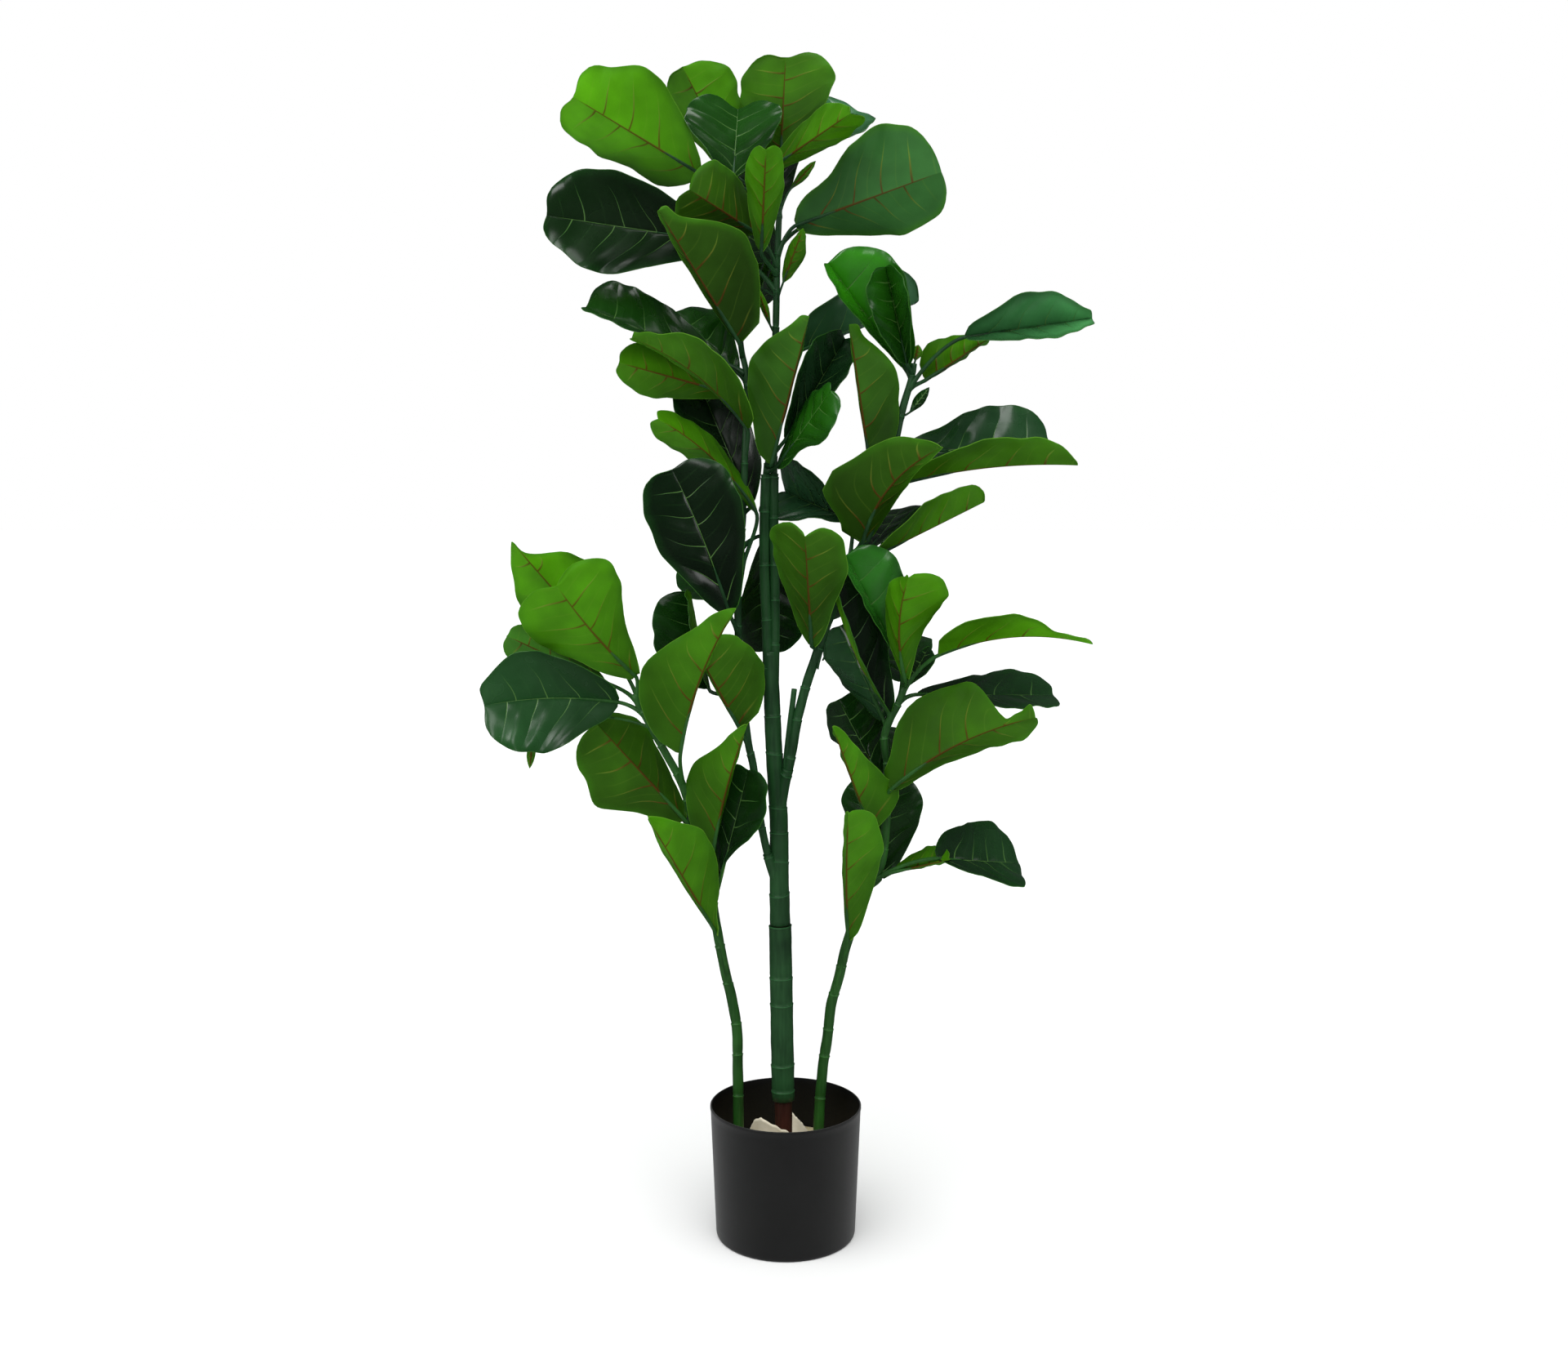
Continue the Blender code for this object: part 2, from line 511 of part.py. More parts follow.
def make_trunk(group):
    points = [from_front(place) for place in TRUNK_ROUTE]
    points.append(from_front((-19.5, 745, 0)))
    radii = [13 * MM, 12 * MM, 11.8 * MM, 11.2 * MM, 10.4 * MM, 10 * MM, 8 * MM]
    trunk = rod_between("trunk", points, radii, group, "bark", rounding=4)
    tubes = collection("trunk_tubes")
    left_tube = [(-22, 700, 1), (-24, 770, 1), (-27, 839, 1), (-27, 900, 1), (-25, 963, 3)]
    right_tube = [(-14.5, 700, 0), (-13.5, 770, 0), (-14, 839, 0), (-15, 900, 0), (-15, 964, 0)]
    rod_between("left_tube", [from_front(p) for p in left_tube], [6.6 * MM] * 5, tubes, "bark", rounding=3)
    rod_between("right_tube", [from_front(p) for p in right_tube], [6.2 * MM] * 5, tubes, "bark", rounding=3)
    left_fork = [(-8, 425, 1)] + LEFT_BRANCH_ROUTE[:3]
    right_fork = [(-10, 520, 1)] + RIGHT_BRANCH_ROUTE[:2] + [(3, 588, 8.1)]
    rod_between("left_fork", [from_front(p) for p in left_fork], [6.8 * MM] * 4, tubes, "bark", rounding=2)
    rod_between("right_fork", [from_front(p) for p in right_fork], [7.8 * MM] * 4, tubes, "bark", rounding=2)
    trunk = joined(trunk, tubes)
    cutters = collection("trunk_sockets")
    low = rod_axis(TRUNK_STEP - 20 * MM)
    high = rod_axis(TRUNK_STEP + ROD_SPIGOT_LENGTH + GAP)
    rod_between("spigot_bore", [low, high], [ROD_SPIGOT_RADIUS + GAP] * 2, cutters, "bark", rounding=4)
    sockets = (("left", LEFT_BRANCH_ROUTE, 6, 5.0), ("right", RIGHT_BRANCH_ROUTE, 6, 6.0),
               ("crown", CROWN_ROUTE, 3, 4.4), ("sprig", SPRIG_ROUTE, 3, 4.6))
    for name, route, count, radius in sockets:
        points, radii = offset_route(route, count, radius * MM)
        rod_between(name + "_socket", points, radii, cutters, "bark", rounding=2)
    return joined(trunk, cutters, "DIFFERENCE")


def curved_wall(name, centre, radius, from_angle, to_angle, heights, lean, group):
    """A standing piece of thin curved wall with an uneven top edge."""
    steps = len(heights) - 1
    sheet = bmesh.new()
    bmesh.ops.create_grid(sheet, x_segments=steps, y_segments=2, size=1)
    foot = FILLER_TOP + GAP + 0.1 * MM
    for corner in sheet.verts:
        share = (corner.co.x + 1) / 2
        rise = (corner.co.y + 1) / 2
        angle = radians(from_angle + (to_angle - from_angle) * share)
        height = heights[round(share * steps)] * MM * rise
        spread = radius + lean * rise
        corner.co = (centre[0] + spread * cos(angle), centre[1] + spread * sin(angle), foot + height)
    bmesh.ops.triangulate(sheet, faces=sheet.faces[:])
    mesh = bpy.data.meshes.new(name)
    sheet.to_mesh(mesh)
    sheet.free()
    wall = mesh_object(name, mesh, group, "cream")
    thicken = wall.modifiers.new("thicken", "SOLIDIFY")
    thicken.thickness = 1.6 * MM
    thicken.offset = 0
    return applied(wall, name, group, "cream")


def main():
    clear_scene()
    fig = collection("fiddle_leaf_fig")
    make_pot(fig)
    make_filler(fig)
    make_core_rod(fig)
    make_trunk_sleeve(fig)
    make_trunk(fig)
    curved_wall("collar", (-14 * MM, 4 * MM), 30 * MM, 200, 300, (26, 48, 52, 46, 40, 34), 4 * MM, fig)
    curved_wall("flap", (4 * MM, 2 * MM), 24 * MM, 285, 345, (44, 34, 22), 2 * MM, fig)
    leafy_stem("crown", CROWN_ROUTE, 4.4 * MM, CROWN_LEAVES, fig)
    leafy_stem("centre_sprig", SPRIG_ROUTE, 4.6 * MM, SPRIG_LEAVES, fig)
    leafy_stem("left_branch", LEFT_BRANCH_ROUTE, 5.0 * MM, LEFT_BRANCH_LEAVES, fig)
    leafy_stem("right_branch", RIGHT_BRANCH_ROUTE, 6.0 * MM, RIGHT_BRANCH_LEAVES, fig)
    leafy_stem("left_stem", LEFT_STEM_ROUTE, 7.0 * MM, LEFT_STEM_LEAVES, fig)
    leafy_stem("right_stem", RIGHT_STEM_ROUTE, 7.0 * MM, RIGHT_STEM_LEAVES, fig)


main()
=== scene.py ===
# %% [markdown]
# # An artificial fiddle-leaf fig in a nursery pot
# The tree is about 1.5 m tall. Its stems are moulded green sleeves, its leaves are thin embossed
# plastic blades, and the whole stands in a cream cast weight inside a plain black pot. The packed
# CAD model is loaded first as a fixed frame, and every finer piece is then built where it stands.

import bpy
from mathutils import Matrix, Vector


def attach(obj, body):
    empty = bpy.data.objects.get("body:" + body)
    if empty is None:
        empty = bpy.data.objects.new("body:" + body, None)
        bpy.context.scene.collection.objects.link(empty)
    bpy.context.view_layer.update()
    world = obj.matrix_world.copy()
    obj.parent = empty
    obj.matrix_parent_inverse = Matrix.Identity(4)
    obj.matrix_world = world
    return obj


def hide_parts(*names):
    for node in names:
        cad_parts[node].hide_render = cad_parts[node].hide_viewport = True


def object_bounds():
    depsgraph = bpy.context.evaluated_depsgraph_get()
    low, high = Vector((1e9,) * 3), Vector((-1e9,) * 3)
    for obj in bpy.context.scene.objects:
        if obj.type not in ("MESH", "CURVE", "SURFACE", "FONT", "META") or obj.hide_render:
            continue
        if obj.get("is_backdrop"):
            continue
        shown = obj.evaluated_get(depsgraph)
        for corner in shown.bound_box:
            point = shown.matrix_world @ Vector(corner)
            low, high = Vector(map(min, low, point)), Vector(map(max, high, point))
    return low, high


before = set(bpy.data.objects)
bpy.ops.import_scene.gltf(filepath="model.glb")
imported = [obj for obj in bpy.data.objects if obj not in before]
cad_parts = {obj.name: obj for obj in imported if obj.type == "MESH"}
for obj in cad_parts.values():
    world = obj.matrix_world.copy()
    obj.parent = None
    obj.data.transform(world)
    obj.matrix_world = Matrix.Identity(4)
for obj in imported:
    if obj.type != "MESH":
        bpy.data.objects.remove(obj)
cad_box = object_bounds()
print("CAD box in metres:", [[round(v, 3) for v in corner] for corner in cad_box])

# %% [markdown]
# ## Sizes and places
# All sizes are real millimetres. A place is written as it is seen from the front: across and up on
# the upright plane through the pot's axis, and how far the point stands out from that plane towards
# the viewer. The camera stands 2.03 m away at 0.91 m height, so a place that stands out is carried
# along its line of sight, and it still covers the same spot in the picture.

# %% Millimetres and places
from math import cos, exp, hypot, pi, radians, sin
from random import Random
from types import SimpleNamespace

import bmesh
import bpy
from mathutils import Vector, noise

MM = 0.001
EYE_DISTANCE = 2030.0
EYE_HEIGHT = 911.0


def from_front(place):
    across, up, towards = place
    nearer = (EYE_DISTANCE - towards) / EYE_DISTANCE
    return Vector((across * nearer, -towards, EYE_HEIGHT + (up - EYE_HEIGHT) * nearer)) * MM


print("the pot's rim from the front:", from_front((96, 162, 0)))

# %% [markdown]
# ## Camera
# The trunk stands upright in the picture and both sides of the pot look alike, so the camera is
# level. Its horizon is above the middle of the frame, which a small lens shift gives without any
# tilt. Lens and shift follow from the picture's width, its middle row and the horizon's row.

# %% Camera
PICTURE_WIDTH = 1920
FOCAL_PIXELS = 1952
HORIZON_ROW = 631
MIDDLE_ROW = 832
SENSOR_WIDTH = 36
CAMERA_ACROSS = -2.1

lens = bpy.data.cameras.new("camera")
lens.sensor_width = SENSOR_WIDTH
lens.lens = SENSOR_WIDTH * FOCAL_PIXELS / PICTURE_WIDTH
lens.shift_y = (HORIZON_ROW - MIDDLE_ROW) / PICTURE_WIDTH
camera = bpy.data.objects.new("camera", lens)
camera.location = Vector((CAMERA_ACROSS, -EYE_DISTANCE, EYE_HEIGHT)) * MM
camera.rotation_euler = (radians(90), 0, 0)
bpy.context.scene.collection.objects.link(camera)
bpy.context.scene.camera = camera
print("lens", round(lens.lens, 2), "mm, shift", round(lens.shift_y, 4))

# %% [markdown]
# ## Colours and helpers for nodes
# Colours are picked as sRGB hex values, the way a paint chart gives them. Blender's shaders work in
# linear light, so one function turns them. The function `add` adds any shader node together with
# its settings and its links, and four short ones use it for the steps that come again and again: a
# number that the mesh carries, a sum, a ramp and a blend of two colours.

# %% Colour and node helpers


def linear(hex_colour):
    parts = [int(hex_colour[i:i + 2], 16) / 255 for i in (1, 3, 5)]
    return (*[p / 12.92 if p <= 0.04045 else ((p + 0.055) / 1.055) ** 2.4 for p in parts], 1.0)


def add(tree, kind, settings=None, links=None):
    """A shader node; settings are properties or socket values, links are sockets or nodes."""
    node = tree.nodes.new("ShaderNode" + kind)
    for name, value in (settings or {}).items():
        if isinstance(name, str) and hasattr(node, name):
            setattr(node, name, value)
        else:
            node.inputs[name].default_value = value
    for name, source in (links or {}).items():
        tree.links.new(getattr(source, "outputs", [source])[0], node.inputs[name])
    return node


def fact(tree, name):
    """The number that each point of the mesh carries under this name."""
    return add(tree, "Attribute", {"attribute_name": name}).outputs["Fac"]


def compute(tree, operation, *values):
    """A sum; a float is written into the node, and anything else is a source."""
    settings = {i: v for i, v in enumerate(values) if isinstance(v, float)}
    links = {i: v for i, v in enumerate(values) if not isinstance(v, float)}
    return add(tree, "Math", {"operation": operation, **settings}, links)


def ramp(tree, source, start, end, low, high, smooth=False):
    """Goes from low to high while the source goes from start to end, which may be a node."""
    settings = {"From Min": start, "To Min": low, "To Max": high}
    settings["interpolation_type"] = "SMOOTHSTEP" if smooth else "LINEAR"
    links = {"Value": source}
    (settings if isinstance(end, float) else links)["From Max"] = end
    return add(tree, "MapRange", settings, links)


def blend(tree, share, first, second):
    """A share of the second colour over the first; each is a hex colour or a source."""
    settings, links = {"data_type": "RGBA"}, {0: share}
    for slot, colour in ((6, first), (7, second)):
        if isinstance(colour, str):
            settings[slot] = linear(colour)
        else:
            links[slot] = colour
    return add(tree, "Mix", settings, links).outputs[2]


def bare_material(name):
    made = bpy.data.materials.new(name)
    made.use_nodes = True
    made.node_tree.nodes.clear()
    return made, made.node_tree


print("leaf green in linear light:", [round(v, 3) for v in linear("#4f9c1c")])

# %% [markdown]
# ## Studio
# The product stands on plain white with a soft shadow that hardly leaves the pot. A very wide sun
# from high in front gives the light and that shadow. Four soft panels are only there to be mirrored
# in the glossy leaves, and the floor and the sun are not mirrored, which keeps the darks deep.

# %% Floor, light and surroundings
floor_mesh = bpy.data.meshes.new("floor")
floor_mesh.from_pydata([(-60, -12, 0), (60, -12, 0), (60, 90, 0), (-60, 90, 0)], [], [(0, 1, 2, 3)])
floor = bpy.data.objects.new("floor", floor_mesh)
bpy.context.scene.collection.objects.link(floor)
paper, paper_tree = bare_material("matt_white_paper")
paper_surface = add(paper_tree, "BsdfPrincipled", {"Base Color": linear("#fbfbfb"),
                                                   "Roughness": 1.0, "Specular IOR Level": 0.0})
add(paper_tree, "OutputMaterial", links={"Surface": paper_surface})
floor_mesh.materials.append(paper)
floor.visible_glossy = False
floor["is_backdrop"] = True


def lamp(name, kind, strength, place, aim, size):
    """A sun with a size in degrees, or a round panel with a size in metres."""
    light = bpy.data.lights.new(name, kind)
    light.energy = strength
    if kind == "SUN":
        light.angle = radians(size)
    else:
        light.shape = "DISK"
        light.size = size
    made = bpy.data.objects.new(name, light)
    made.location = place
    made.rotation_euler = (Vector(aim) - Vector(place)).to_track_quat("-Z", "Y").to_euler()
    bpy.context.scene.collection.objects.link(made)
    return made


sun = lamp("wide_sun", "SUN", 2.85, (-0.3, -1.9, 4.8), (0, 0, 0.6), 80)
sun.visible_glossy = False
panels = [lamp("left_panel", "AREA", 18, (-2.2, -1.6, 2.3), (0, 0, 0.9), 1.2),
          lamp("right_panel", "AREA", 9, (2.3, -1.2, 1.9), (0, 0, 0.9), 1.0),
          lamp("top_panel", "AREA", 15, (0.1, -0.4, 3.3), (0, 0, 1.0), 1.2),
          lamp("front_panel", "AREA", 9, (-0.9, -3.0, 2.4), (0, 0, 0.9), 0.9)]
for panel in panels:
    panel.visible_diffuse = False

world = bpy.data.worlds.new("white_surroundings")
world.use_nodes = True
sky = world.node_tree
sky.nodes.clear()
ray = add(sky, "LightPath").outputs
behind = add(sky, "Background", {"Color": (1, 1, 1, 1), "Strength": 1.0})
around = add(sky, "Background", {"Color": (0.98, 1, 0.99, 1), "Strength": 0.43})
mirrored = add(sky, "Background", {"Color": (0.9, 0.96, 1, 1), "Strength": 0.06})
lit = add(sky, "MixShader", links={0: ray["Is Glossy Ray"], 1: around, 2: mirrored})
both = add(sky, "MixShader", links={0: ray["Is Camera Ray"], 1: lit, 2: behind})
add(sky, "OutputWorld", links={"Surface": both})
bpy.context.scene.world = world
bpy.context.scene.view_settings.view_transform = "Standard"
print("studio: one sun,", len(panels), "panels, white surroundings")

# %% [markdown]
# ## Leaf pattern
# A fiddle leaf has one strong midrib and about four side veins in each half, which leave the rib
# steeply and bend towards the tip. Every blade is built on a grid whose rows already follow these
# veins, and each point carries a few numbers: its row, its side from the left margin (-1) over the
# rib (0) to the right margin (1), its distance from rib and margin in millimetres, the length of
# the blade, and a count that grows by one from each side vein to the next. The veins are drawn from
# those numbers, so their width is a real one in millimetres. Rib and veins get thinner towards the
# tip and the margin, and a faint minor vein runs halfway between two side veins.

# %% Masks for rib, veins and rim
VEINS = 4
VEIN_SHIFT = 0.3
RIB_HALF_WIDTH = 2.8
VEIN_HALF_WIDTH = 1.5
MINOR_HALF_WIDTH = 0.9
RIM_WIDTH = 1.2
VEINED_SHARE = 0.62


def leaf_masks(tree, slim):
    """Sources that are 1 on the rib, on the veins and on the rim. slim narrows rib and veins."""
    row, side, reach, margin, size, count = [
        fact(tree, name) for name in ("row", "side", "reach", "margin", "size", "count")]
    out = compute(tree, "ABSOLUTE", side)
    right = compute(tree, "GREATER_THAN", side, 0.0)
    part = compute(tree, "FRACT", compute(tree, "MULTIPLY_ADD", right, VEIN_SHIFT, count))
    off = compute(tree, "ABSOLUTE", compute(tree, "SUBTRACT", part, 0.5))
    spacing = compute(tree, "MULTIPLY", size, VEINED_SHARE / VEINS)
    vein_half, rib_half = VEIN_HALF_WIDTH * slim, RIB_HALF_WIDTH * slim
    thin = compute(tree, "MULTIPLY_ADD", out, -0.75 * vein_half, vein_half)
    wide = compute(tree, "MULTIPLY_ADD", row, -0.8 * rib_half, rib_half)
    away = compute(tree, "MULTIPLY", off, spacing)
    between = compute(tree, "MULTIPLY", compute(tree, "MULTIPLY_ADD", off, -1.0, 0.5), spacing)
    fade = ramp(tree, out, 0.35, 0.85, 1.0, 0.0, smooth=True)
    end = ramp(tree, row, 0.84, 0.97, 1.0, 0.0, smooth=True)
    vein = ramp(tree, away, 0.0, thin, 1.0, 0.0, smooth=True)
    minor = ramp(tree, between, 0.0, MINOR_HALF_WIDTH, 1.0, 0.0, smooth=True)
    rib = ramp(tree, reach, 0.0, wide, 1.0, 0.0, smooth=True)
    return {"row": row, "margin": margin,
            "vein": compute(tree, "MULTIPLY", vein, fade),
            "minor": compute(tree, "MULTIPLY", minor, fade),
            "rib": compute(tree, "MULTIPLY", rib, end),
            "rim": ramp(tree, margin, 0.0, RIM_WIDTH, 1.0, 0.0, smooth=True),
            "age": compute(tree, "MULTIPLY_ADD", row, 0.3, out)}


print("a 150 mm blade has a side vein about every", round(150 / VEINS), "mm")

# %% [markdown]
# ## Leaf finish: embossed polyethylene
# Both faces are one sheet of polyethylene (PE), IOR about 1.5. The underside is printed a fresh
# green and is satin, with ribs tinted red-brown that fade to yellow-green. The upper face is
# printed dark green and is glossy, with slimmer pale veins. Along the margin both turn to a colour
# of their own in a band 14 mm wide. Soft cloudy changes of green about 45 mm wide and a very faint
# net of 6 mm meshes keep the print from looking flat.

# %% Leaf materials
CLOUD_MM = 45
MESH_MM = 6
MESH_LINE = 0.12
MARGIN_BAND = 14.0
PE_IOR = 1.5


def leaf_finish(name, tone, dull, fresh, cool, veins, rim_colour, margin_colour, roughness, raised,
                shine, slim):
    """tone names the number that runs from dull to fresh; veins are the near and far colours."""
    made, tree = bare_material(name)
    mask = leaf_masks(tree, slim)
    near, far = veins
    place = add(tree, "TexCoord").outputs["Object"]
    cloud = add(tree, "TexNoise", {"Scale": 1000 / CLOUD_MM, "Detail": 2.0}, {"Vector": place})
    cloud = cloud.outputs["Fac"]
    net = add(tree, "TexVoronoi", {"feature": "DISTANCE_TO_EDGE", "Scale": 1000 / MESH_MM},
              {"Vector": place})
    green = blend(tree, fact(tree, tone), dull, fresh)
    # The cool share mixes a bluish colour into the print: painted sky sheen, a reflection of the
    # sky painted onto the leaf.
    green = blend(tree, fact(tree, "cool"), green, cool)
    edge = ramp(tree, mask["margin"], 0.0, MARGIN_BAND, 0.5, 0.0, smooth=True)
    green = blend(tree, edge, green, margin_colour)
    # The print gets darker towards each blade's foot, down to 0.62 at the base: painted shade where
    # the blade meets its stalk. The cloudy changes and the faint net are the print's own.
    shade = compute(tree, "MULTIPLY", ramp(tree, cloud, 0.3, 0.7, 0.82, 1.16),
                    ramp(tree, mask["row"], 0.0, 0.8, 0.62, 1.15, smooth=True))
    shade = compute(tree, "MULTIPLY", shade, ramp(tree, net, 0.0, MESH_LINE, 1.025, 1.0))
    green = add(tree, "VectorMath", {"operation": "SCALE"}, {0: green, "Scale": shade})
    lines = compute(tree, "MAXIMUM", mask["vein"], mask["rib"])
    line_colour = blend(tree, ramp(tree, mask["age"], 0.3, 0.9, 0.0, 1.0), near, far)
    green = blend(tree, compute(tree, "MULTIPLY", mask["minor"], 0.1), green, far)
    green = blend(tree, compute(tree, "MULTIPLY", lines, 0.85), green, line_colour)
    green = blend(tree, compute(tree, "MULTIPLY", mask["rim"], 0.55), green, rim_colour)
    gloss = ramp(tree, cloud, 0.3, 0.7, roughness - 0.05, roughness + 0.07)
    fine = ramp(tree, net, 0.0, MESH_LINE, 0.0, 0.006)
    relief = compute(tree, "MULTIPLY_ADD", lines, raised, fine)
    bump = add(tree, "Bump", {"Strength": 0.5, "Distance": 0.6 * MM}, {"Height": relief})
    surface = add(tree, "BsdfPrincipled", {"IOR": PE_IOR, "Specular IOR Level": shine},
                  {"Base Color": green, "Roughness": gloss, "Normal": bump})
    add(tree, "OutputMaterial", links={"Surface": surface})
    return made


satin_underside = leaf_finish(
    "embossed_pe_satin_underside", "under_tone", "#274a08", "#4c9405", "#2c5a34",
    ("#4e250a", "#739430"), "#6aa030", "#35700c", roughness=0.45, raised=0.9, shine=0.08, slim=1.0)
glossy_upper = leaf_finish(
    "embossed_pe_glossy_upper", "upper_tone", "#071c07", "#2c7f0c", "#529464",
    ("#5a8440", "#37662a"), "#417c28", "#124010", roughness=0.24, raised=-0.9, shine=0.5, slim=0.55)
print("leaf finishes:", satin_underside.name, glossy_upper.name)

# %% [markdown]
# ## Stem finish: moulded green sleeves
# The stems are wire covered with soft PE sleeves, pushed over each other. They are satin green with
# faint lengthwise streaks about 3 mm wide from the mould, and each lip is a little paler because
# the colour is rubbed thin there. The rod, pot, weight and shells use the same steps with a grain
# of their own.

# %% Stem, rod, pot and weight materials


def moulded_finish(name, colours, roughness, grain_mm, stretch, depth, bloom=0.0):
    """colours are dark, light and worn lip; stretch under 1 draws the grain out upwards."""
    made, tree = bare_material(name)
    dark, light, lip = colours
    place = add(tree, "TexCoord").outputs["Object"]
    drawn = add(tree, "Mapping", {"Scale": (1, 1, stretch)}, {"Vector": place})
    grain = add(tree, "TexNoise", {"Scale": 1000 / grain_mm, "Detail": 3.0}, {"Vector": drawn})
    grain = grain.outputs["Fac"]
    cloud = add(tree, "TexNoise", {"Scale": 18.0, "Detail": 2.0}, {"Vector": place})
    mixed = compute(tree, "MULTIPLY_ADD", grain, 0.5, -0.1)
    mixed = compute(tree, "ADD", mixed, cloud.outputs["Fac"])
    paint = blend(tree, ramp(tree, mixed, 0.4, 0.95, 0.0, 1.0), dark, light)
    paint = blend(tree, fact(tree, "lip"), paint, lip)
    gloss = ramp(tree, grain, 0.3, 0.7, roughness - 0.06, roughness + 0.08)
    bump = add(tree, "Bump", {"Strength": 0.4, "Distance": depth * MM}, {"Height": grain})
    surface = add(tree, "BsdfPrincipled",
                  {"IOR": PE_IOR, "Specular IOR Level": 0.35, "Sheen Weight": bloom},
                  {"Base Color": paint, "Roughness": gloss, "Normal": bump})
    add(tree, "OutputMaterial", links={"Surface": surface})
    return made


green_sleeve = moulded_finish("moulded_pe_green_sleeve", ("#123018", "#235228", "#30693a"),
                              0.42, 3, 0.08, 0.5)
side_sleeve = moulded_finish("moulded_pe_side_sleeve", ("#173c14", "#2c6521", "#3d7836"),
                             0.42, 3, 0.08, 0.5)
brown_core = moulded_finish("moulded_brown_core", ("#240e08", "#472016", "#5a2f20"),
                            0.55, 2, 0.05, 0.4)
nursery_black = moulded_finish("moulded_pp_nursery_black", ("#121212", "#171717", "#202020"),
                               0.42, 1.2, 1.0, 0.12, bloom=0.2)
# A darker copy of the pot's black for its inner faces: painted shade inside the pot.
shaded_black = moulded_finish("dull_pp_inner_wall", ("#060606", "#0a0a0a", "#101010"),
                              0.6, 1.2, 1.0, 0.12)
cream_weight = moulded_finish("cast_cream_weight", ("#b5a67a", "#dccfa9", "#eee6cf"),
                              0.85, 2.5, 1.0, 1.4)
cream_shell = moulded_finish("torn_cream_shell", ("#e2d8bd", "#f6efdc", "#fffaf0"),
                             0.6, 6, 1.0, 0.5)
print("moulded and cast finishes ready")

# %% [markdown]
# ## Routes of the stems
# Each stem is bent wire, so its route is a smooth line through a few places that are read from the
# front view: across, up and towards the viewer, in millimetres. The CAD part has the same routes.

# %% Routes
LEFT_STEM_ROUTE = [(-60, 30, -30), (-60, 134, -30), (-61, 215, -30), (-62, 257, -29),
                   (-69, 298, -27), (-77, 330, -24), (-85, 371, -20), (-92, 413, -15),
                   (-90, 439, -12), (-94, 486, -6), (-116, 517, 0), (-132, 569, 8),
                   (-163, 626, 16), (-194, 683, 22)]
RIGHT_STEM_ROUTE = [(39, 30, -26), (42, 134, -26), (47, 205, -26), (53, 246, -26), (58, 288, -25),
                    (68, 324, -24), (78, 366, -21), (102, 434, -14), (123, 475, -8), (130, 579, 6),
                    (126, 631, 12), (144, 673, 18), (152, 694, 20)]
TRUNK_ROUTE = [(-7, 390.5, 0), (-8, 444, 0), (-9, 527, 0), (-14, 600, 0), (-17, 660, 0),
               (-19, 738, 0)]
LEFT_TUBE_ROUTE = [(-22, 700, 1), (-24, 770, 1), (-27, 839, 1), (-27, 900, 1), (-25, 963, 3)]
RIGHT_TUBE_ROUTE = [(-14.5, 700, 0), (-13.5, 770, 0), (-14, 839, 0), (-15, 900, 0), (-15, 964, 0)]
CROWN_ROUTE = [(-15, 900, 0), (-15, 965, 0), (-14, 1060, 0), (-12.5, 1151, 0), (-10, 1255, 0),
               (-6, 1333, 0)]
SPRIG_ROUTE = [(-26.5, 900, 1), (-25, 965, 3), (-22, 985, 6)]
LEFT_BRANCH_ROUTE = [(-12.5, 446, 2), (-17, 460, 5), (-23, 480, 8), (-33, 527, 11), (-41, 590, 14),
                     (-49, 631, 16), (-59, 735, 18), (-61, 798, 18), (-59, 839, 16), (-56, 881, 14),
                     (-52, 985, 10), (-49, 1078, 6), (-56, 1120, 3), (-59, 1148, 0)]
RIGHT_BRANCH_ROUTE = [(-8, 535, 2), (-2, 569, 5), (6, 600, 10), (13, 642, 14), (19, 668, 16),
                      (29, 704, 18), (40, 735, 20), (50, 766, 22), (60, 792, 24), (81, 850, 28),
                      (100, 876, 30), (128, 943, 26), (140, 1006, 20), (149, 1047, 15),
                      (160, 1084, 10), (163, 1104, 8)]


def smooth_line(route, step=4 * MM):
    """Catmull-Rom points every few millimetres through the places of a route."""
    knots = [from_front(place) for place in route]
    knots = [2 * knots[0] - knots[1], *knots, 2 * knots[-1] - knots[-2]]
    points = []
    for a, b, c, d in zip(knots, knots[1:], knots[2:], knots[3:]):
        count = max(2, round((c - b).length / step))
        for i in range(count):
            t = i / count
            points.append(0.5 * (2 * b + (c - a) * t + (2 * a - 5 * b + 4 * c - d) * t * t
                                 + (3 * b - a - 3 * c + d) * t ** 3))
    return points + [knots[-2]]


print("the upper trunk's line has", len(smooth_line(TRUNK_ROUTE)), "points")

# %% [markdown]
# ## Sleeves
# A moulded sleeve is a round tube that ends in a thin, slightly slanting lip, and the next one
# starts from inside it. A tube swept along the route with a few extra rings at each lip gives real
# edges that also show from the side, which a bump texture would not. Each row of the lip's
# profile is a place along the tube, a change of radius, both in millimetres, and how worn the
# colour is there.

# %% Sweep a sleeve
LIP_PROFILE = [(-4.0, 0.0, 0.0), (-1.0, 0.3, 0.0), (-0.2, 0.6, 0.8), (0.1, 0.45, 0.3),
               (0.4, -0.5, 0.0), (4.5, -0.1, 0.0)]
LIP_CLEARANCE = 5 * MM
ROUGHNESS_SCALE = 60


def walk(points):
    """Running lengths along the points."""
    lengths = [0.0]
    for a, b in zip(points, points[1:]):
        lengths.append(lengths[-1] + (b - a).length)
    return lengths


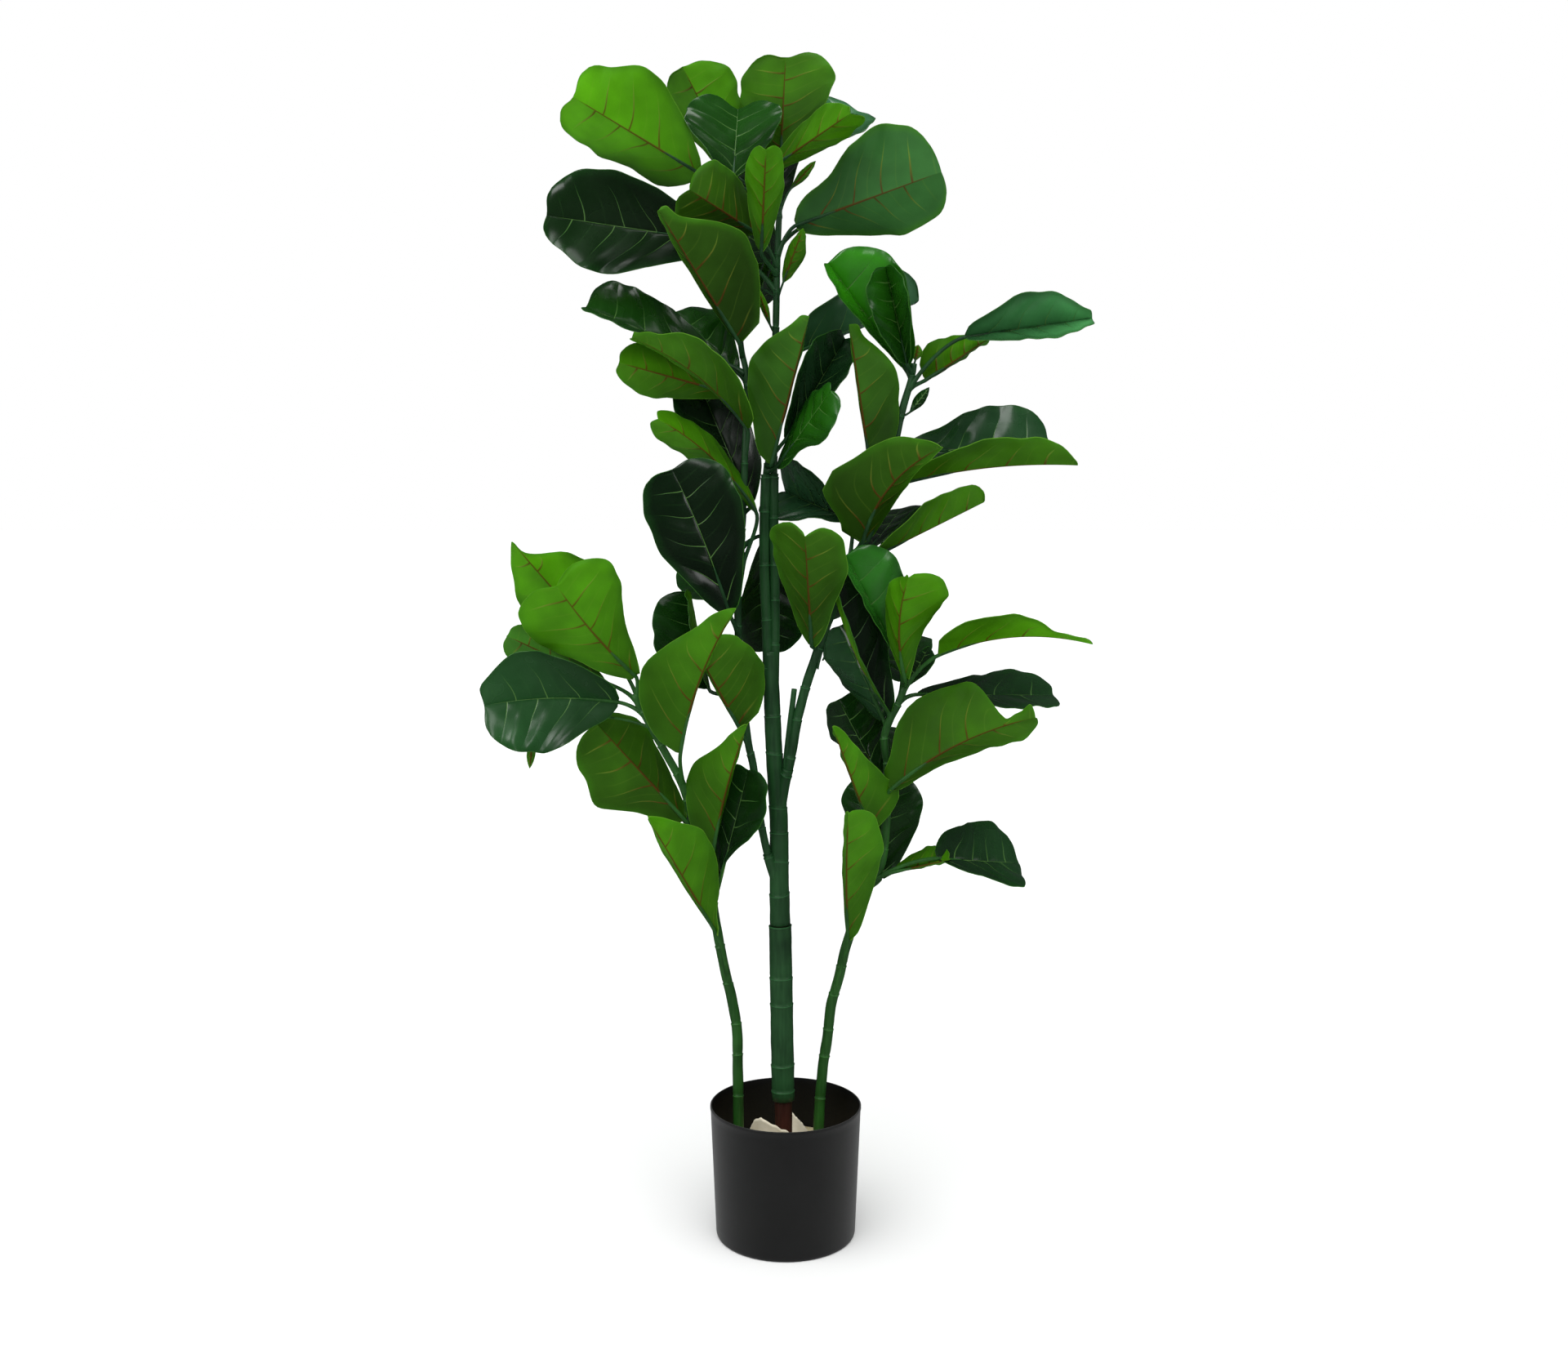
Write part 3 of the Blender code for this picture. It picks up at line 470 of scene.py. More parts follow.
def spot(points, lengths, distance):
    """The point and the direction at a distance along the line."""
    index = 0
    while index < len(points) - 2 and lengths[index + 1] < distance:
        index += 1
    a, b = points[index], points[index + 1]
    share = (distance - lengths[index]) / max(lengths[index + 1] - lengths[index], 1e-9)
    return a.lerp(b, min(max(share, 0), 1)), (b - a).normalized()


def spread_over(values, share):
    """The value at a share of the way through evenly spaced values."""
    part = share * (len(values) - 1)
    low = min(int(part), len(values) - 2)
    return values[low] + (values[low + 1] - values[low]) * (part - low)


def sweep_sleeve(shell, points, radii, seed, seams=(), sides=24, step=6 * MM, slant=0.2,
                 uneven=0.02):
    """Adds a capped tube to a bmesh. radii, from foot to top, and the seams' heights are in mm.
    Each lip slants by up to slant, and the tube's radius wanders by the share uneven."""
    lip = shell.verts.layers.float.get("lip") or shell.verts.layers.float.new("lip")
    luck = Random(seed)
    radii = [radius * MM for radius in radii]
    lengths = walk(points)
    total = lengths[-1]
    joints = []
    for height in seams:
        over = [i for i, p in enumerate(points) if p.z >= height * MM]
        if over:
            joints.append(lengths[over[0]])
    clear = LIP_CLEARANCE + slant * max(radii)
    stations = [(i * step, 0, 0, 0, 0) for i in range(int(total / step) + 1)]
    stations = [s for s in stations
                if all(abs(s[0] - j) > clear for j in joints) and s[0] < total - step / 2]
    stations.append((total, 0, 0, 0, 0))
    for joint in joints:
        tip, turn = luck.uniform(-slant, slant), luck.uniform(0, 2 * pi)
        stations += [(joint + at * MM, swell * MM, worn, tip, turn)
                     for at, swell, worn in LIP_PROFILE if 0 < joint + at * MM < total]
    stations.sort()
    side = spot(points, lengths, 0)[1].orthogonal().normalized()
    rings = []
    for distance, swell, worn, tip, turn in stations:
        centre, ahead = spot(points, lengths, distance)
        side = (side - ahead * side.dot(ahead)).normalized()
        other = ahead.cross(side)
        radius = spread_over(radii, distance / total)
        ring = []
        for i in range(sides):
            angle = 2 * pi * i / sides
            way = side * cos(angle) + other * sin(angle)
            rough = 1 + uneven * noise.noise((centre + way * radius) * ROUGHNESS_SCALE)
            corner = shell.verts.new(centre + way * (radius * rough + swell)
                                     + ahead * tip * radius * cos(angle - turn))
            corner[lip] = worn
            ring.append(corner)
        rings.append(ring)
    for ring, above in zip(rings, rings[1:]):
        for i in range(sides):
            j = (i + 1) % sides
            shell.faces.new((ring[i], ring[j], above[j], above[i])).smooth = True
    shell.faces.new(rings[0][::-1])
    shell.faces.new(rings[-1])


def finished_piece(name, shell, materials, node, slot):
    """Turns a bmesh into an object that rides on the body, and hides the CAD node it takes the
    place of.
    """
    mesh = bpy.data.meshes.new(name)
    shell.to_mesh(mesh)
    shell.free()
    made = bpy.data.objects.new(name, mesh)
    for material in materials:
        mesh.materials.append(material)
    bpy.context.scene.collection.objects.link(made)
    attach(made, "root")
    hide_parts(node)
    print(name, "has", len(mesh.polygons), "faces")
    return made


def thicken(made, thickness):
    """Gives a surface the thickness of its sheet, half to each side."""
    sheet = made.modifiers.new("sheet", "SOLIDIFY")
    sheet.thickness = thickness
    sheet.offset = 0
    return sheet


# %% [markdown]
# ## Trunk
# The bare lower trunk is one sleeve over a brown rod. Above a step it goes on as a thicker jointed
# piece that forks twice and ends in two tubes side by side, with the crown in one and a short
# sprig in the other. The seams are at the heights that the picture shows.

# %% Lower sleeve, upper trunk and core rod
TRUNK_FOOT = 168
TRUNK_STEP = 389
ROD_FOOT = 22
ROD_TOP = 432
AXIS_STEPS = 40


def rod_line(foot, top):
    """Points on the axis of the lower trunk, which leans 4 mm to the left on its way up."""
    line = []
    for i in range(AXIS_STEPS + 1):
        height = foot + i * (top - foot) / AXIS_STEPS
        share = (height - TRUNK_FOOT) / (TRUNK_STEP - TRUNK_FOOT)
        line.append(Vector((-3 - 4 * share, 0, height)) * MM)
    return line


sleeve_shell = bmesh.new()
sweep_sleeve(sleeve_shell, rod_line(TRUNK_FOOT, TRUNK_STEP), [14.6, 14.4], "lower sleeve",
             seams=(177, 210, 286, 322, 386), sides=40, slant=0.07, uneven=0.03)
finished_piece("lower_sleeve", sleeve_shell, [green_sleeve], "trunk_sleeve", "green_bark")

rod_shell = bmesh.new()
sweep_sleeve(rod_shell, rod_line(ROD_FOOT, ROD_TOP), [11, 11], "core rod", sides=32, uneven=0.04)
finished_piece("core_rod_fine", rod_shell, [brown_core], "core_rod", "brown_rod")

trunk_shell = bmesh.new()
sweep_sleeve(trunk_shell, smooth_line(TRUNK_ROUTE), [13.2, 12.2, 11.8, 11, 10.4, 9], "trunk",
             seams=(426, 467, 504, 538, 605, 655), sides=36, slant=0.28, uneven=0.05)
sweep_sleeve(trunk_shell, smooth_line(LEFT_TUBE_ROUTE), [6.6, 6.5], "left tube",
             seams=(715, 777, 847, 912, 958), sides=28, slant=0.12)
sweep_sleeve(trunk_shell, smooth_line(RIGHT_TUBE_ROUTE), [6.2, 6.1], "right tube",
             seams=(745, 800, 846, 905, 959), sides=28, slant=0.12)
sweep_sleeve(trunk_shell, smooth_line([(-8, 425, 1)] + LEFT_BRANCH_ROUTE[:3]), [6.6, 6.4],
             "fork one", seams=(474,))
sweep_sleeve(trunk_shell, smooth_line([(-10, 520, 1)] + RIGHT_BRANCH_ROUTE[:2] + [(3, 588, 8.1)]),
             [8.2, 7.2], "fork two", seams=(582,), sides=28)
finished_piece("forked_trunk", trunk_shell, [green_sleeve], "trunk", "green_bark")

# %% [markdown]
# ## Blades
# One blade is a rib curve with two halves hinged on it. Each half turns away from the viewer by its
# own angle, so some leaves look folded, cupped or edge-on. The outline starts narrow, has a slight
# waist, and ends broad and blunt. The numbers are set one by one against the picture. A leaf also
# has a tone, from dull to fresh, for the face that is seen, and a cool share if it mirrors the sky.
# The cool share is painted sky sheen: a bluish colour in the print where a glossy leaf would mirror
# the sky.

# %% One leaf and its outline
LEFT, RIGHT = -1, 1
# A leaf's tone is partly its print's own shade and partly painted shade and light: leaves that lie
# in shadow in the tree get a lower tone, well-lit ones a higher one.
USUAL_TONE = {"under": 0.45, "upper": 0.1}
FOOT_WIDTH = 0.09
WAIST_DEPTH, WAIST_PLACE, WAIST_SPREAD = 0.05, 0.3, 0.14
BLUNT_END = (4.5, 0.5, 0.69)
POINTED_END = (2.2, 1.1, 0.463)
CURL, WAVE, RIPPLE, FINE_RIPPLE = 0.1, 0.05, 0.042, 0.02


def under(name, joint, base, tip, left, right, halves, *lobes, tone=USUAL_TONE["under"], cool=0,
          bow=0, notch=0.04, broad=1.0, face="under"):
    """A leaf that shows its underside. joint is the height of its socket on the stem, left and
    right are the turns of its halves, and halves their widths. A lobe is (side, share of the way
    to the tip, millimetres out, spread as a share). broad under 1 widens the foot."""
    return SimpleNamespace(**locals())


def upper(*numbers, tone=USUAL_TONE["upper"], **more):
    """A leaf that shows its upper face."""
    return under(*numbers, tone=tone, face="upper", **more)


def blade_width(shape, t, s):
    """Share of the half width at t from base to tip: a waist, broad shoulders, a closed end. An
    end is the power that delays its closing, how fast it closes, and the widest value."""
    t = min(max(t, 0), 1)
    bumps = 0
    for side, at, amount, spread in shape.lobes:
        if side * s > 0:
            bumps += amount / shape.halves[0 if s < 0 else 1] * exp(-((t - at) / spread) ** 2)
    end = 1 - t ** 40
    t = t ** shape.broad
    power, closing, full = BLUNT_END if shape.notch else POINTED_END
    swell = t ** 0.72 * (1 - t ** power) ** closing / full
    waist = WAIST_DEPTH * exp(-((t - WAIST_PLACE) / WAIST_SPREAD) ** 2)
    return max((FOOT_WIDTH + bumps - waist) * end + (1 - FOOT_WIDTH) * swell, 0)


def read_line(knots, x):
    """The height at x of a line of straight pieces."""
    for (a, low), (b, high) in zip(knots, knots[1:]):
        if x <= b:
            return low + (high - low) * (x - a) / (b - a)
    return knots[-1][1]


class Blade:
    """The surface of one leaf."""

    def __init__(self, shape):
        luck = Random(shape.name + str(shape.joint))
        self.shape = shape
        self.base = from_front(shape.base)
        self.tip = from_front(shape.tip)
        run = self.tip - self.base
        self.length = run.length
        eye = Vector((0, -EYE_DISTANCE, EYE_HEIGHT)) * MM
        self.to_eye = (eye - (self.base + self.tip) / 2).normalized()
        left = self.to_eye.cross(run.normalized()).normalized()
        self.middle = (self.base + self.tip) / 2 + left * shape.bow * MM * 2
        self.phases = [luck.uniform(0, 2 * pi) for _ in range(6)]
        self.toward_under = 1 if shape.face == "under" else -1
        # The side veins are spread unevenly, from near the base to well before the tip.
        gaps = [luck.uniform(0.75, 1.25) for _ in range(VEINS)] + [0.6]
        self.knots, start = [(0, 0)], 0.0
        for number, gap in enumerate(gaps[:-1]):
            start += gap
            self.knots.append(((start - 0.35) / (sum(gaps) - 0.15), number + 0.5))
        self.knots.append((1, VEINS + 0.1))

    def rib(self, t):
        return (1 - t) ** 2 * self.base + 2 * t * (1 - t) * self.middle + t * t * self.tip

    def heading(self, t):
        return ((1 - t) * (self.middle - self.base) + t * (self.tip - self.middle)).normalized()

    def count(self, v):
        """Grows by one from each side vein to the next, and is a half on the vein itself."""
        return read_line(self.knots, v)

    def row_at(self, count):
        """The row on which the counter has this value."""
        return read_line([(number, row) for row, number in self.knots], count)

    def half(self, s):
        return (self.shape.halves[0] if s < 0 else self.shape.halves[1]) * MM

    def reach(self, t, s):
        """Distance from the rib, with an outline that wanders a little."""
        one, two = self.phases[:2] if s < 0 else self.phases[2:4]
        wander = 1 + 0.035 * sin(11 * t + one) * t + 0.024 * sin(27 * t + two) * t
        return abs(s) * self.half(s) * blade_width(self.shape, t, s) * wander

    def place(self, t, s):
        """t runs from base to tip, s from -1 at the left margin to 1 at the right one."""
        shape = self.shape
        ahead = self.heading(t)
        facing = (self.to_eye - ahead * self.to_eye.dot(ahead)).normalized()
        sideways = facing.cross(ahead) if s < 0 else -facing.cross(ahead)
        turn = radians(shape.left if s < 0 else shape.right)
        out = sideways * cos(turn) - facing * sin(turn)
        up = facing * cos(turn) + sideways * sin(turn)
        half = self.half(s)
        across = self.reach(t, s)
        dent = self.length * t ** 5 * shape.notch * exp(-(across / (0.3 * half)) ** 2)
        curl = facing * CURL * half * s * s * (0.5 - t)
        wave = facing * WAVE * half * s * s * sin(2 * pi * (1.6 * t + 0.2 * s))
        ripple = RIPPLE * sin(17 * t + self.phases[4 if s < 0 else 5])
        ripple += FINE_RIPPLE * sin(41 * t + self.phases[2])
        return (self.rib(t) + out * across - ahead * dent + curl + wave
                + up * half * abs(s) ** 3 * t * ripple)


test = Blade(under("test", 0, (0, 0, 0), (0, 150, 0), 0, 0, (66, 66)))
print("a test blade is", round(test.reach(0.7, 1) / MM * 2), "mm wide")

# %% [markdown]
# ## Embossing
# Side veins leave the rib and bend towards the tip, so the rows of the grid do the same: a row that
# starts at v on the rib climbs as it nears the margin. Three close rows carry each vein and three
# close columns carry the rib, which makes crisp ridges with few faces. Between the veins the sheet
# bulges towards its upper face like a quilt. A Solidify modifier then gives the sheet its 0.8 mm
# thickness and puts the other finish on its back.

# %% Build the leaves of one stem
CLIMB = 0.4
RIDGE = 1.4
RIB_RIDGE = 1.6
BULGE = {"under": 1.0, "upper": 2.2}
DENTS = 0.25
FULL_EMBOSS_LENGTH = 110 * MM
SHEET_THICKNESS = 0.8 * MM
SMALL_LEAF = 30
HALF_COLUMNS = (0.014, 0.034, 0.07, 0.13, 0.21, 0.31, 0.42, 0.54, 0.66, 0.77, 0.87, 0.945, 0.98,
                1.0)
LAYERS = ("row", "side", "reach", "margin", "count", "size", "under_tone", "upper_tone", "cool")


def climbing_row(blade, v, s):
    """A row leaves the rib and bends towards the tip, with a small sway of its own."""
    out = abs(s)
    inner = (1 - v) * (1 - exp(-v / 0.07))
    sway = 0.02 * sin(6 * out + 11 * v + blade.phases[3 if s < 0 else 4]) * out * (1 - out) * 4
    return v + (CLIMB * out ** 1.4 + sway) * inner


def vein_rows(blade):
    """Rows of the grid: evenly over the blade, close at both ends and at every vein."""
    rows = [0.0, 0.006, 0.013, 0.021, 0.03] + [k / 24 for k in range(1, 24)]
    rows += [0.97, 0.98, 0.988, 0.994, 0.998, 1.0]
    close = RIDGE * MM / blade.length
    veins = [blade.row_at(k + 0.5 - shift) for k in range(VEINS) for shift in (0, VEIN_SHIFT)]
    rows = [r for r in rows if all(abs(r - v) > 2.2 * close for v in veins) or r in (0.0, 1.0)]
    rows += [v + d for v in veins for d in (-close, 0, close) if 0.01 < v + d < 0.965]
    return sorted(rows)


def emboss(blade, v, t, s):
    """How far the sheet is pressed towards its underside, in metres."""
    x = blade.reach(t, s) / MM
    off = abs((blade.count(v) + (VEIN_SHIFT if s > 0 else 0)) % 1 - 0.5)
    away = off / VEINS * blade.length / MM * 0.7
    fade = max(0, 1 - abs(s)) ** 0.6 * min(1, abs(s) * 12)
    inside = min(1, v * 8) * (1 - v ** 6)
    rib = exp(-(x / RIB_RIDGE) ** 2) * (1 - 0.75 * v)
    vein = 0.5 * exp(-(away / RIDGE) ** 2) * fade * inside
    depth = BULGE[blade.shape.face]
    bulge = depth * sin(pi * off) ** 2 * (4 * abs(s) * max(0, 1 - abs(s))) ** 0.7 * inside
    along_rib = t * blade.length / MM
    dents = DENTS * depth * sin(x / 4.1 + blade.phases[0 if s < 0 else 2]) * inside
    dents *= sin(along_rib / 5.3 + blade.phases[1])
    pressed = rib + vein - bulge - dents * min(1, x / 8)
    return pressed * MM * min(1, blade.length / FULL_EMBOSS_LENGTH)


def add_blade(shell, layers, shape):
    """Adds one leaf to a bmesh; each corner carries the numbers named in LAYERS."""
    blade = Blade(shape)
    small = max(shape.halves) < SMALL_LEAF
    half_columns = HALF_COLUMNS[1::3] + (1.0,) if small else HALF_COLUMNS
    columns = [-c for c in reversed(half_columns)] + [0.0] + list(half_columns)
    rows = vein_rows(blade)
    if small:
        rows = sorted(set(rows[::3] + [1.0]))
    tones = {**USUAL_TONE, shape.face: shape.tone}
    common = (blade.length / MM, tones["under"], tones["upper"], shape.cool)

    def add_corner(place, *own):
        corner = shell.verts.new(place)
        for layer, value in zip(layers, own + common):
            corner[layer] = value
        return corner

    step = 0.004
    grid = []
    for v in rows[:-1]:
        line = []
        for s in columns:
            t = min(climbing_row(blade, v, s), 0.9995)
            low, high = blade.place(max(t - step, 0), s), blade.place(min(t + step, 0.9999), s)
            left = blade.place(t, max(s - step * 3, -1))
            right = blade.place(t, min(s + step * 3, 1))
            pressed = (right - left).cross(high - low).normalized() * emboss(blade, v, t, s)
            reach = blade.reach(t, s)
            margin = reach * (1 / abs(s) - 1) if s else blade.reach(t, 1)
            line.append(add_corner(blade.place(t, s) + pressed * blade.toward_under, v, s,
                                   reach / MM, margin / MM, blade.count(v)))
        grid.append(line)
    end = add_corner(blade.place(1.0, 0), 1, 0, 0, 0, blade.count(1))
    for lower, higher in zip(grid, grid[1:] + [[end] * len(columns)]):
        for i in range(len(columns) - 1):
            corners = (lower[i], lower[i + 1], higher[i + 1], higher[i])
            face = shell.faces.new(corners[:3] if higher[0] is end else corners)
            face.smooth = True
            face.material_index = 0 if shape.face == "under" else 1


def make_leaves(stem_name, leaves):
    shell = bmesh.new()
    layers = [shell.verts.layers.float.new(name) for name in LAYERS]
    for shape in leaves:
        add_blade(shell, layers, shape)
    made = finished_piece(stem_name + "_leaves", shell,
                          [satin_underside, glossy_upper, satin_underside], stem_name, "leaf")
    thicken(made, SHEET_THICKNESS).material_offset = 1


print("a blade's grid has", len(vein_rows(test)), "rows and", 2 * len(HALF_COLUMNS) + 1, "columns")

# %% [markdown]
# ## Stalks
# A stalk is a thin wire in a sleeve. It leaves the stem from a small socket, bends over to the
# blade and runs on under it as the start of the midrib. A cubic curve does that with four handles:
# the socket, a point a little above the way out, a point behind the blade's base, and the base.

# %% Stalks and stems
STALK_RADIUS = 2.5
SMALL_STALK_RADIUS = 1.4
STALK_TAPER = (1.7, 1.15, 1.0, 1.0, 0.95, 0.8, 0.3)
STALK_STEPS = 14
SEAM_GAPS = (35, 60)
ABOVE_FOOT, BELOW_TOP = 25, 15


def along(route, height):
    """The place on a route at a height."""
    for low, high in zip(route, route[1:]):
        if height <= high[1] or high is route[-1]:
            part = min(max((height - low[1]) / (high[1] - low[1]), 0), 1)
            return tuple(a + (b - a) * part for a, b in zip(low, high))


def add_stalk(shell, shape, route):
    blade = Blade(shape)
    start = from_front(along(route, shape.joint))
    reach = (blade.base - start).length
    approach = blade.base - blade.heading(0) * reach * 0.18
    rise = (approach - start) * 0.4 + Vector((0, 0, 1)) * reach * 0.12
    points = []
    for i in range(STALK_STEPS + 1):
        p = i / STALK_STEPS
        points.append((1 - p) ** 3 * start + 3 * p * (1 - p) ** 2 * (start + rise)
                      + 3 * p ** 2 * (1 - p) * approach + p ** 3 * blade.base)
    points += [blade.rib(t) for t in (0.03, 0.07, 0.12, 0.2, 0.3)]
    radius = STALK_RADIUS if max(shape.halves) > SMALL_LEAF else SMALL_STALK_RADIUS
    sweep_sleeve(shell, points, [radius * share for share in STALK_TAPER], shape.name, sides=12,
                 step=5 * MM)


def make_stem(stem_name, route, radii, leaves, finish, seams=None, extras=()):
    """A stem with its leaves and stalks; seams come every 35 to 60 mm unless they are given."""
    make_leaves(stem_name, leaves)
    luck = Random(stem_name)
    if seams is None:
        seams, height = [], route[0][1] + ABOVE_FOOT
        while height < route[-1][1] - BELOW_TOP:
            seams.append(height)
            height += luck.uniform(*SEAM_GAPS)
    shell = bmesh.new()
    sweep_sleeve(shell, smooth_line(route), radii, stem_name, seams, slant=0.3, uneven=0.06)
    for shape in leaves:
        add_stalk(shell, shape, route)
    for places, radius in extras:
        sweep_sleeve(shell, smooth_line(places), [radius, radius * 0.8], stem_name, sides=14,
                     step=3 * MM)
    finished_piece(stem_name + "_stem", shell, [finish], stem_name, "green_bark")


print("stalks are", 2 * STALK_RADIUS, "mm thick and widen to",
      round(2 * STALK_RADIUS * STALK_TAPER[0], 1), "mm at the socket")

# %% [markdown]
# ## Crown
# The top of the tree is a whorl of broad leaves seen mostly from below, so most show their bright
# undersides. Two upper faces show as dark gloss: the small heart in the middle and the large leaf
# at the left.

# %% Crown
make_stem("crown", CROWN_ROUTE, [4.6, 4.6, 4.5, 4.4, 4.2, 3.4], [
    under("far_left", 1300, (-111, 1347, 5), (-281, 1450, 40), 50, 14, (74, 74),
          (RIGHT, 0.34, 13, 0.2), (RIGHT, 0.57, 7, 0.15), (RIGHT, 0.85, -11, 0.15),
          (LEFT, 0.17, 29, 0.2), tone=0.9, notch=0.06),
    under("back_left", 1315, (-62, 1344, -65), (-134, 1488, -55), 56, 40, (72, 72), tone=0.6),
    upper("heart", 1305, (-67, 1338, 22), (-60, 1438, -40), -20, -26, (66, 60), (LEFT, 0.5, 8, 0.2),
          (RIGHT, 0.5, 3, 0.2), tone=0.22, notch=0.1, broad=0.9),
    under("top", 1325, (-7, 1354, -22), (1, 1506, -45), 33, -15, (68, 64), tone=0.25, notch=0.08),
    under("strap_right", 1318, (-22, 1351, 18), (87, 1426, 95), 56, 64, (50, 50),
          (LEFT, 0.93, -17, 0.2), tone=0.48, broad=0.8),
    upper("behind_right", 1328, (-2, 1366, -32), (96, 1428, -112), 34, -60, (58, 50), tone=0.13,
          cool=0.35),
    under("big_right", 1240, (13, 1280, 10), (200, 1349, 50), 18, 34, (84, 66),
          (LEFT, 0.3, -8, 0.15), (RIGHT, 0.8, 4, 0.2), tone=0.34, cool=0.68, notch=0.01, broad=0.9),
    upper("edge_right", 1250, (24, 1279, -15), (80, 1282, -150), 86, -80, (50, 50), tone=0.04),
    upper("big_left", 1195, (-100, 1262, -15), (-313, 1294, -20), -26, -12, (76, 72),
          (LEFT, 0.87, -25, 0.2), (LEFT, 0.35, -8, 0.2), (RIGHT, 0.85, -7, 0.2), tone=0.04,
          broad=0.75),
    under("round_left", 1225, (-38, 1271, 18), (-126, 1328, 62), 50, 24, (60, 54), tone=0.03,
          broad=0.8),
    under("front_narrow", 1215, (-31, 1247, 38), (-25, 1382, 100), 50, 48, (36, 36), tone=0.5,
          broad=0.8),
    under("small_right", 1178, (-3, 1208, 14), (22, 1276, 26), 58, 50, (18, 22), notch=0),
    under("bud", 1290, (6, 1326, 4), (38, 1362, 10), 55, 55, (10, 10), notch=0),
    under("bract", 1140, (-19, 1151, 6), (-36, 1201, 12), 50, 40, (7, 7), notch=0),
    upper("long_behind", 1085, (13, 1118, -30), (176, 1187, -95), -12, 85, (60, 44),
          (LEFT, 0.2, 14, 0.2), tone=0.07, cool=0.3),
    upper("rear_up", 1290, (-8, 1303, -22), (-50, 1400, -165), 10, 10, (58, 58)),
    upper("rear_left", 1200, (-14, 1240, -18), (-95, 1305, -175), 10, 10, (56, 56)),
    upper("rear_low", 1170, (-14, 1190, -16), (-70, 1225, -165), 10, 10, (54, 54)),
], green_sleeve, seams=(985, 1040, 1090, 1150, 1195, 1242, 1290))

# %% [markdown]
# ## Centre sprig
# A short stem with three leaves stands in the left tube at the end of the trunk, in front of
# everything behind it.

# %% Centre sprig
make_stem("centre_sprig", SPRIG_ROUTE, [4.7, 4.6, 3.4], [
    under("centre", 974, (-18, 976, 26), (30, 1166, 70), 20, 86, (60, 28), (LEFT, 0.9, -25, 0.16),
          (LEFT, 0.6, 3, 0.15), tone=0.12, cool=0.15, notch=0.01, broad=0.75),
    upper("mid_green", 965, (-10, 974, 14), (60, 1074, 80), 62, -50, (42, 46),
          (LEFT, 0.85, -14, 0.15), (RIGHT, 0.35, -10, 0.2), tone=0.36),
    upper("dark_rimmed", 975, (0, 1008, 14), (79, 1141, -40), -50, -62, (58, 58),
          (LEFT, 0.9, -18, 0.2), (RIGHT, 0.9, -20, 0.2), tone=0.02, cool=0.05),
], green_sleeve, seams=(972,))

# %% [markdown]
# ## Left branch
# A thin branch leaves the trunk at the lower fork, runs up behind the big dark leaf and ends below
# the crown.

# %% Left branch
make_stem("left_branch", LEFT_BRANCH_ROUTE, [5.0, 5.0, 4.8, 4.6, 4.4, 3.6], [
    under("top_front", 1112, (-60, 1132, 20), (-163, 1301, 110), 70, 8, (20, 75),
          (RIGHT, 0.88, -32, 0.16), (RIGHT, 0.15, -8, 0.12), tone=0.0, notch=0.01, broad=0.45),
    upper("dark_strap", 1090, (-94, 1110, -16), (-261, 1179, -24), -80, 38, (32, 68),
          (RIGHT, 0.6, -9, 0.2), tone=0.15, broad=0.9),
    upper("dark_behind", 1075, (-62, 1093, -25), (-142, 1174, -60), 20, 50, (50, 60), tone=0.17),
    under("wavy", 985, (-49, 1021, 16), (-203, 1140, 40), 80, -57, (22, 74),
          (RIGHT, 0.88, -32, 0.25), tone=0.25, bow=-15, broad=0.7),
    under("blunt", 1040, (-70, 1066, -18), (-218, 1107, -10), 42, 42, (44, 44),
          (LEFT, 0.9, -7, 0.15), tone=0.32),
    upper("shade", 912, (-45, 925, -26), (-118, 1098, -95), -35, -30, (52, 52),
          (RIGHT, 0.22, 16, 0.2), tone=0.0),
    under("twisted", 835, (-38, 916, 20), (-169, 1037, 70), 64, 64, (50, 50),
          (RIGHT, 0.9, -12, 0.15), tone=0.48, bow=-12),
    upper("big_dark", 757, (-72, 787, 40), (-148, 977, 60), -15, -18, (68, 68),
          (LEFT, 0.8, -13, 0.2), (RIGHT, 0.92, -6, 0.2), tone=0.0, bow=-4),
    upper("behind_trunk", 868, (-25, 880, -32), (-22, 732, -42), 25, 40, (50, 50), tone=0.02),
    upper("rolled_edge", 676, (-98, 690, -8), (-122, 818, -55), -25, -100, (64, 46), tone=0.09,
          broad=0.5),
    under("lower_front", 600, (-59, 640, 24), (-115, 742, 62), 70, 15, (9, 67), tone=0.17,
          notch=0.01, broad=0.5),
    upper("rear_low", 780, (-66, 800, -8), (-112, 868, -155), 10, 10, (52, 52)),
], green_sleeve)

# %% [markdown]
# ## Right branch
# The stronger branch from the upper fork. A cut-off twin sleeve stands beside it, and two short
# moulding stubs hang from it, as the picture shows.

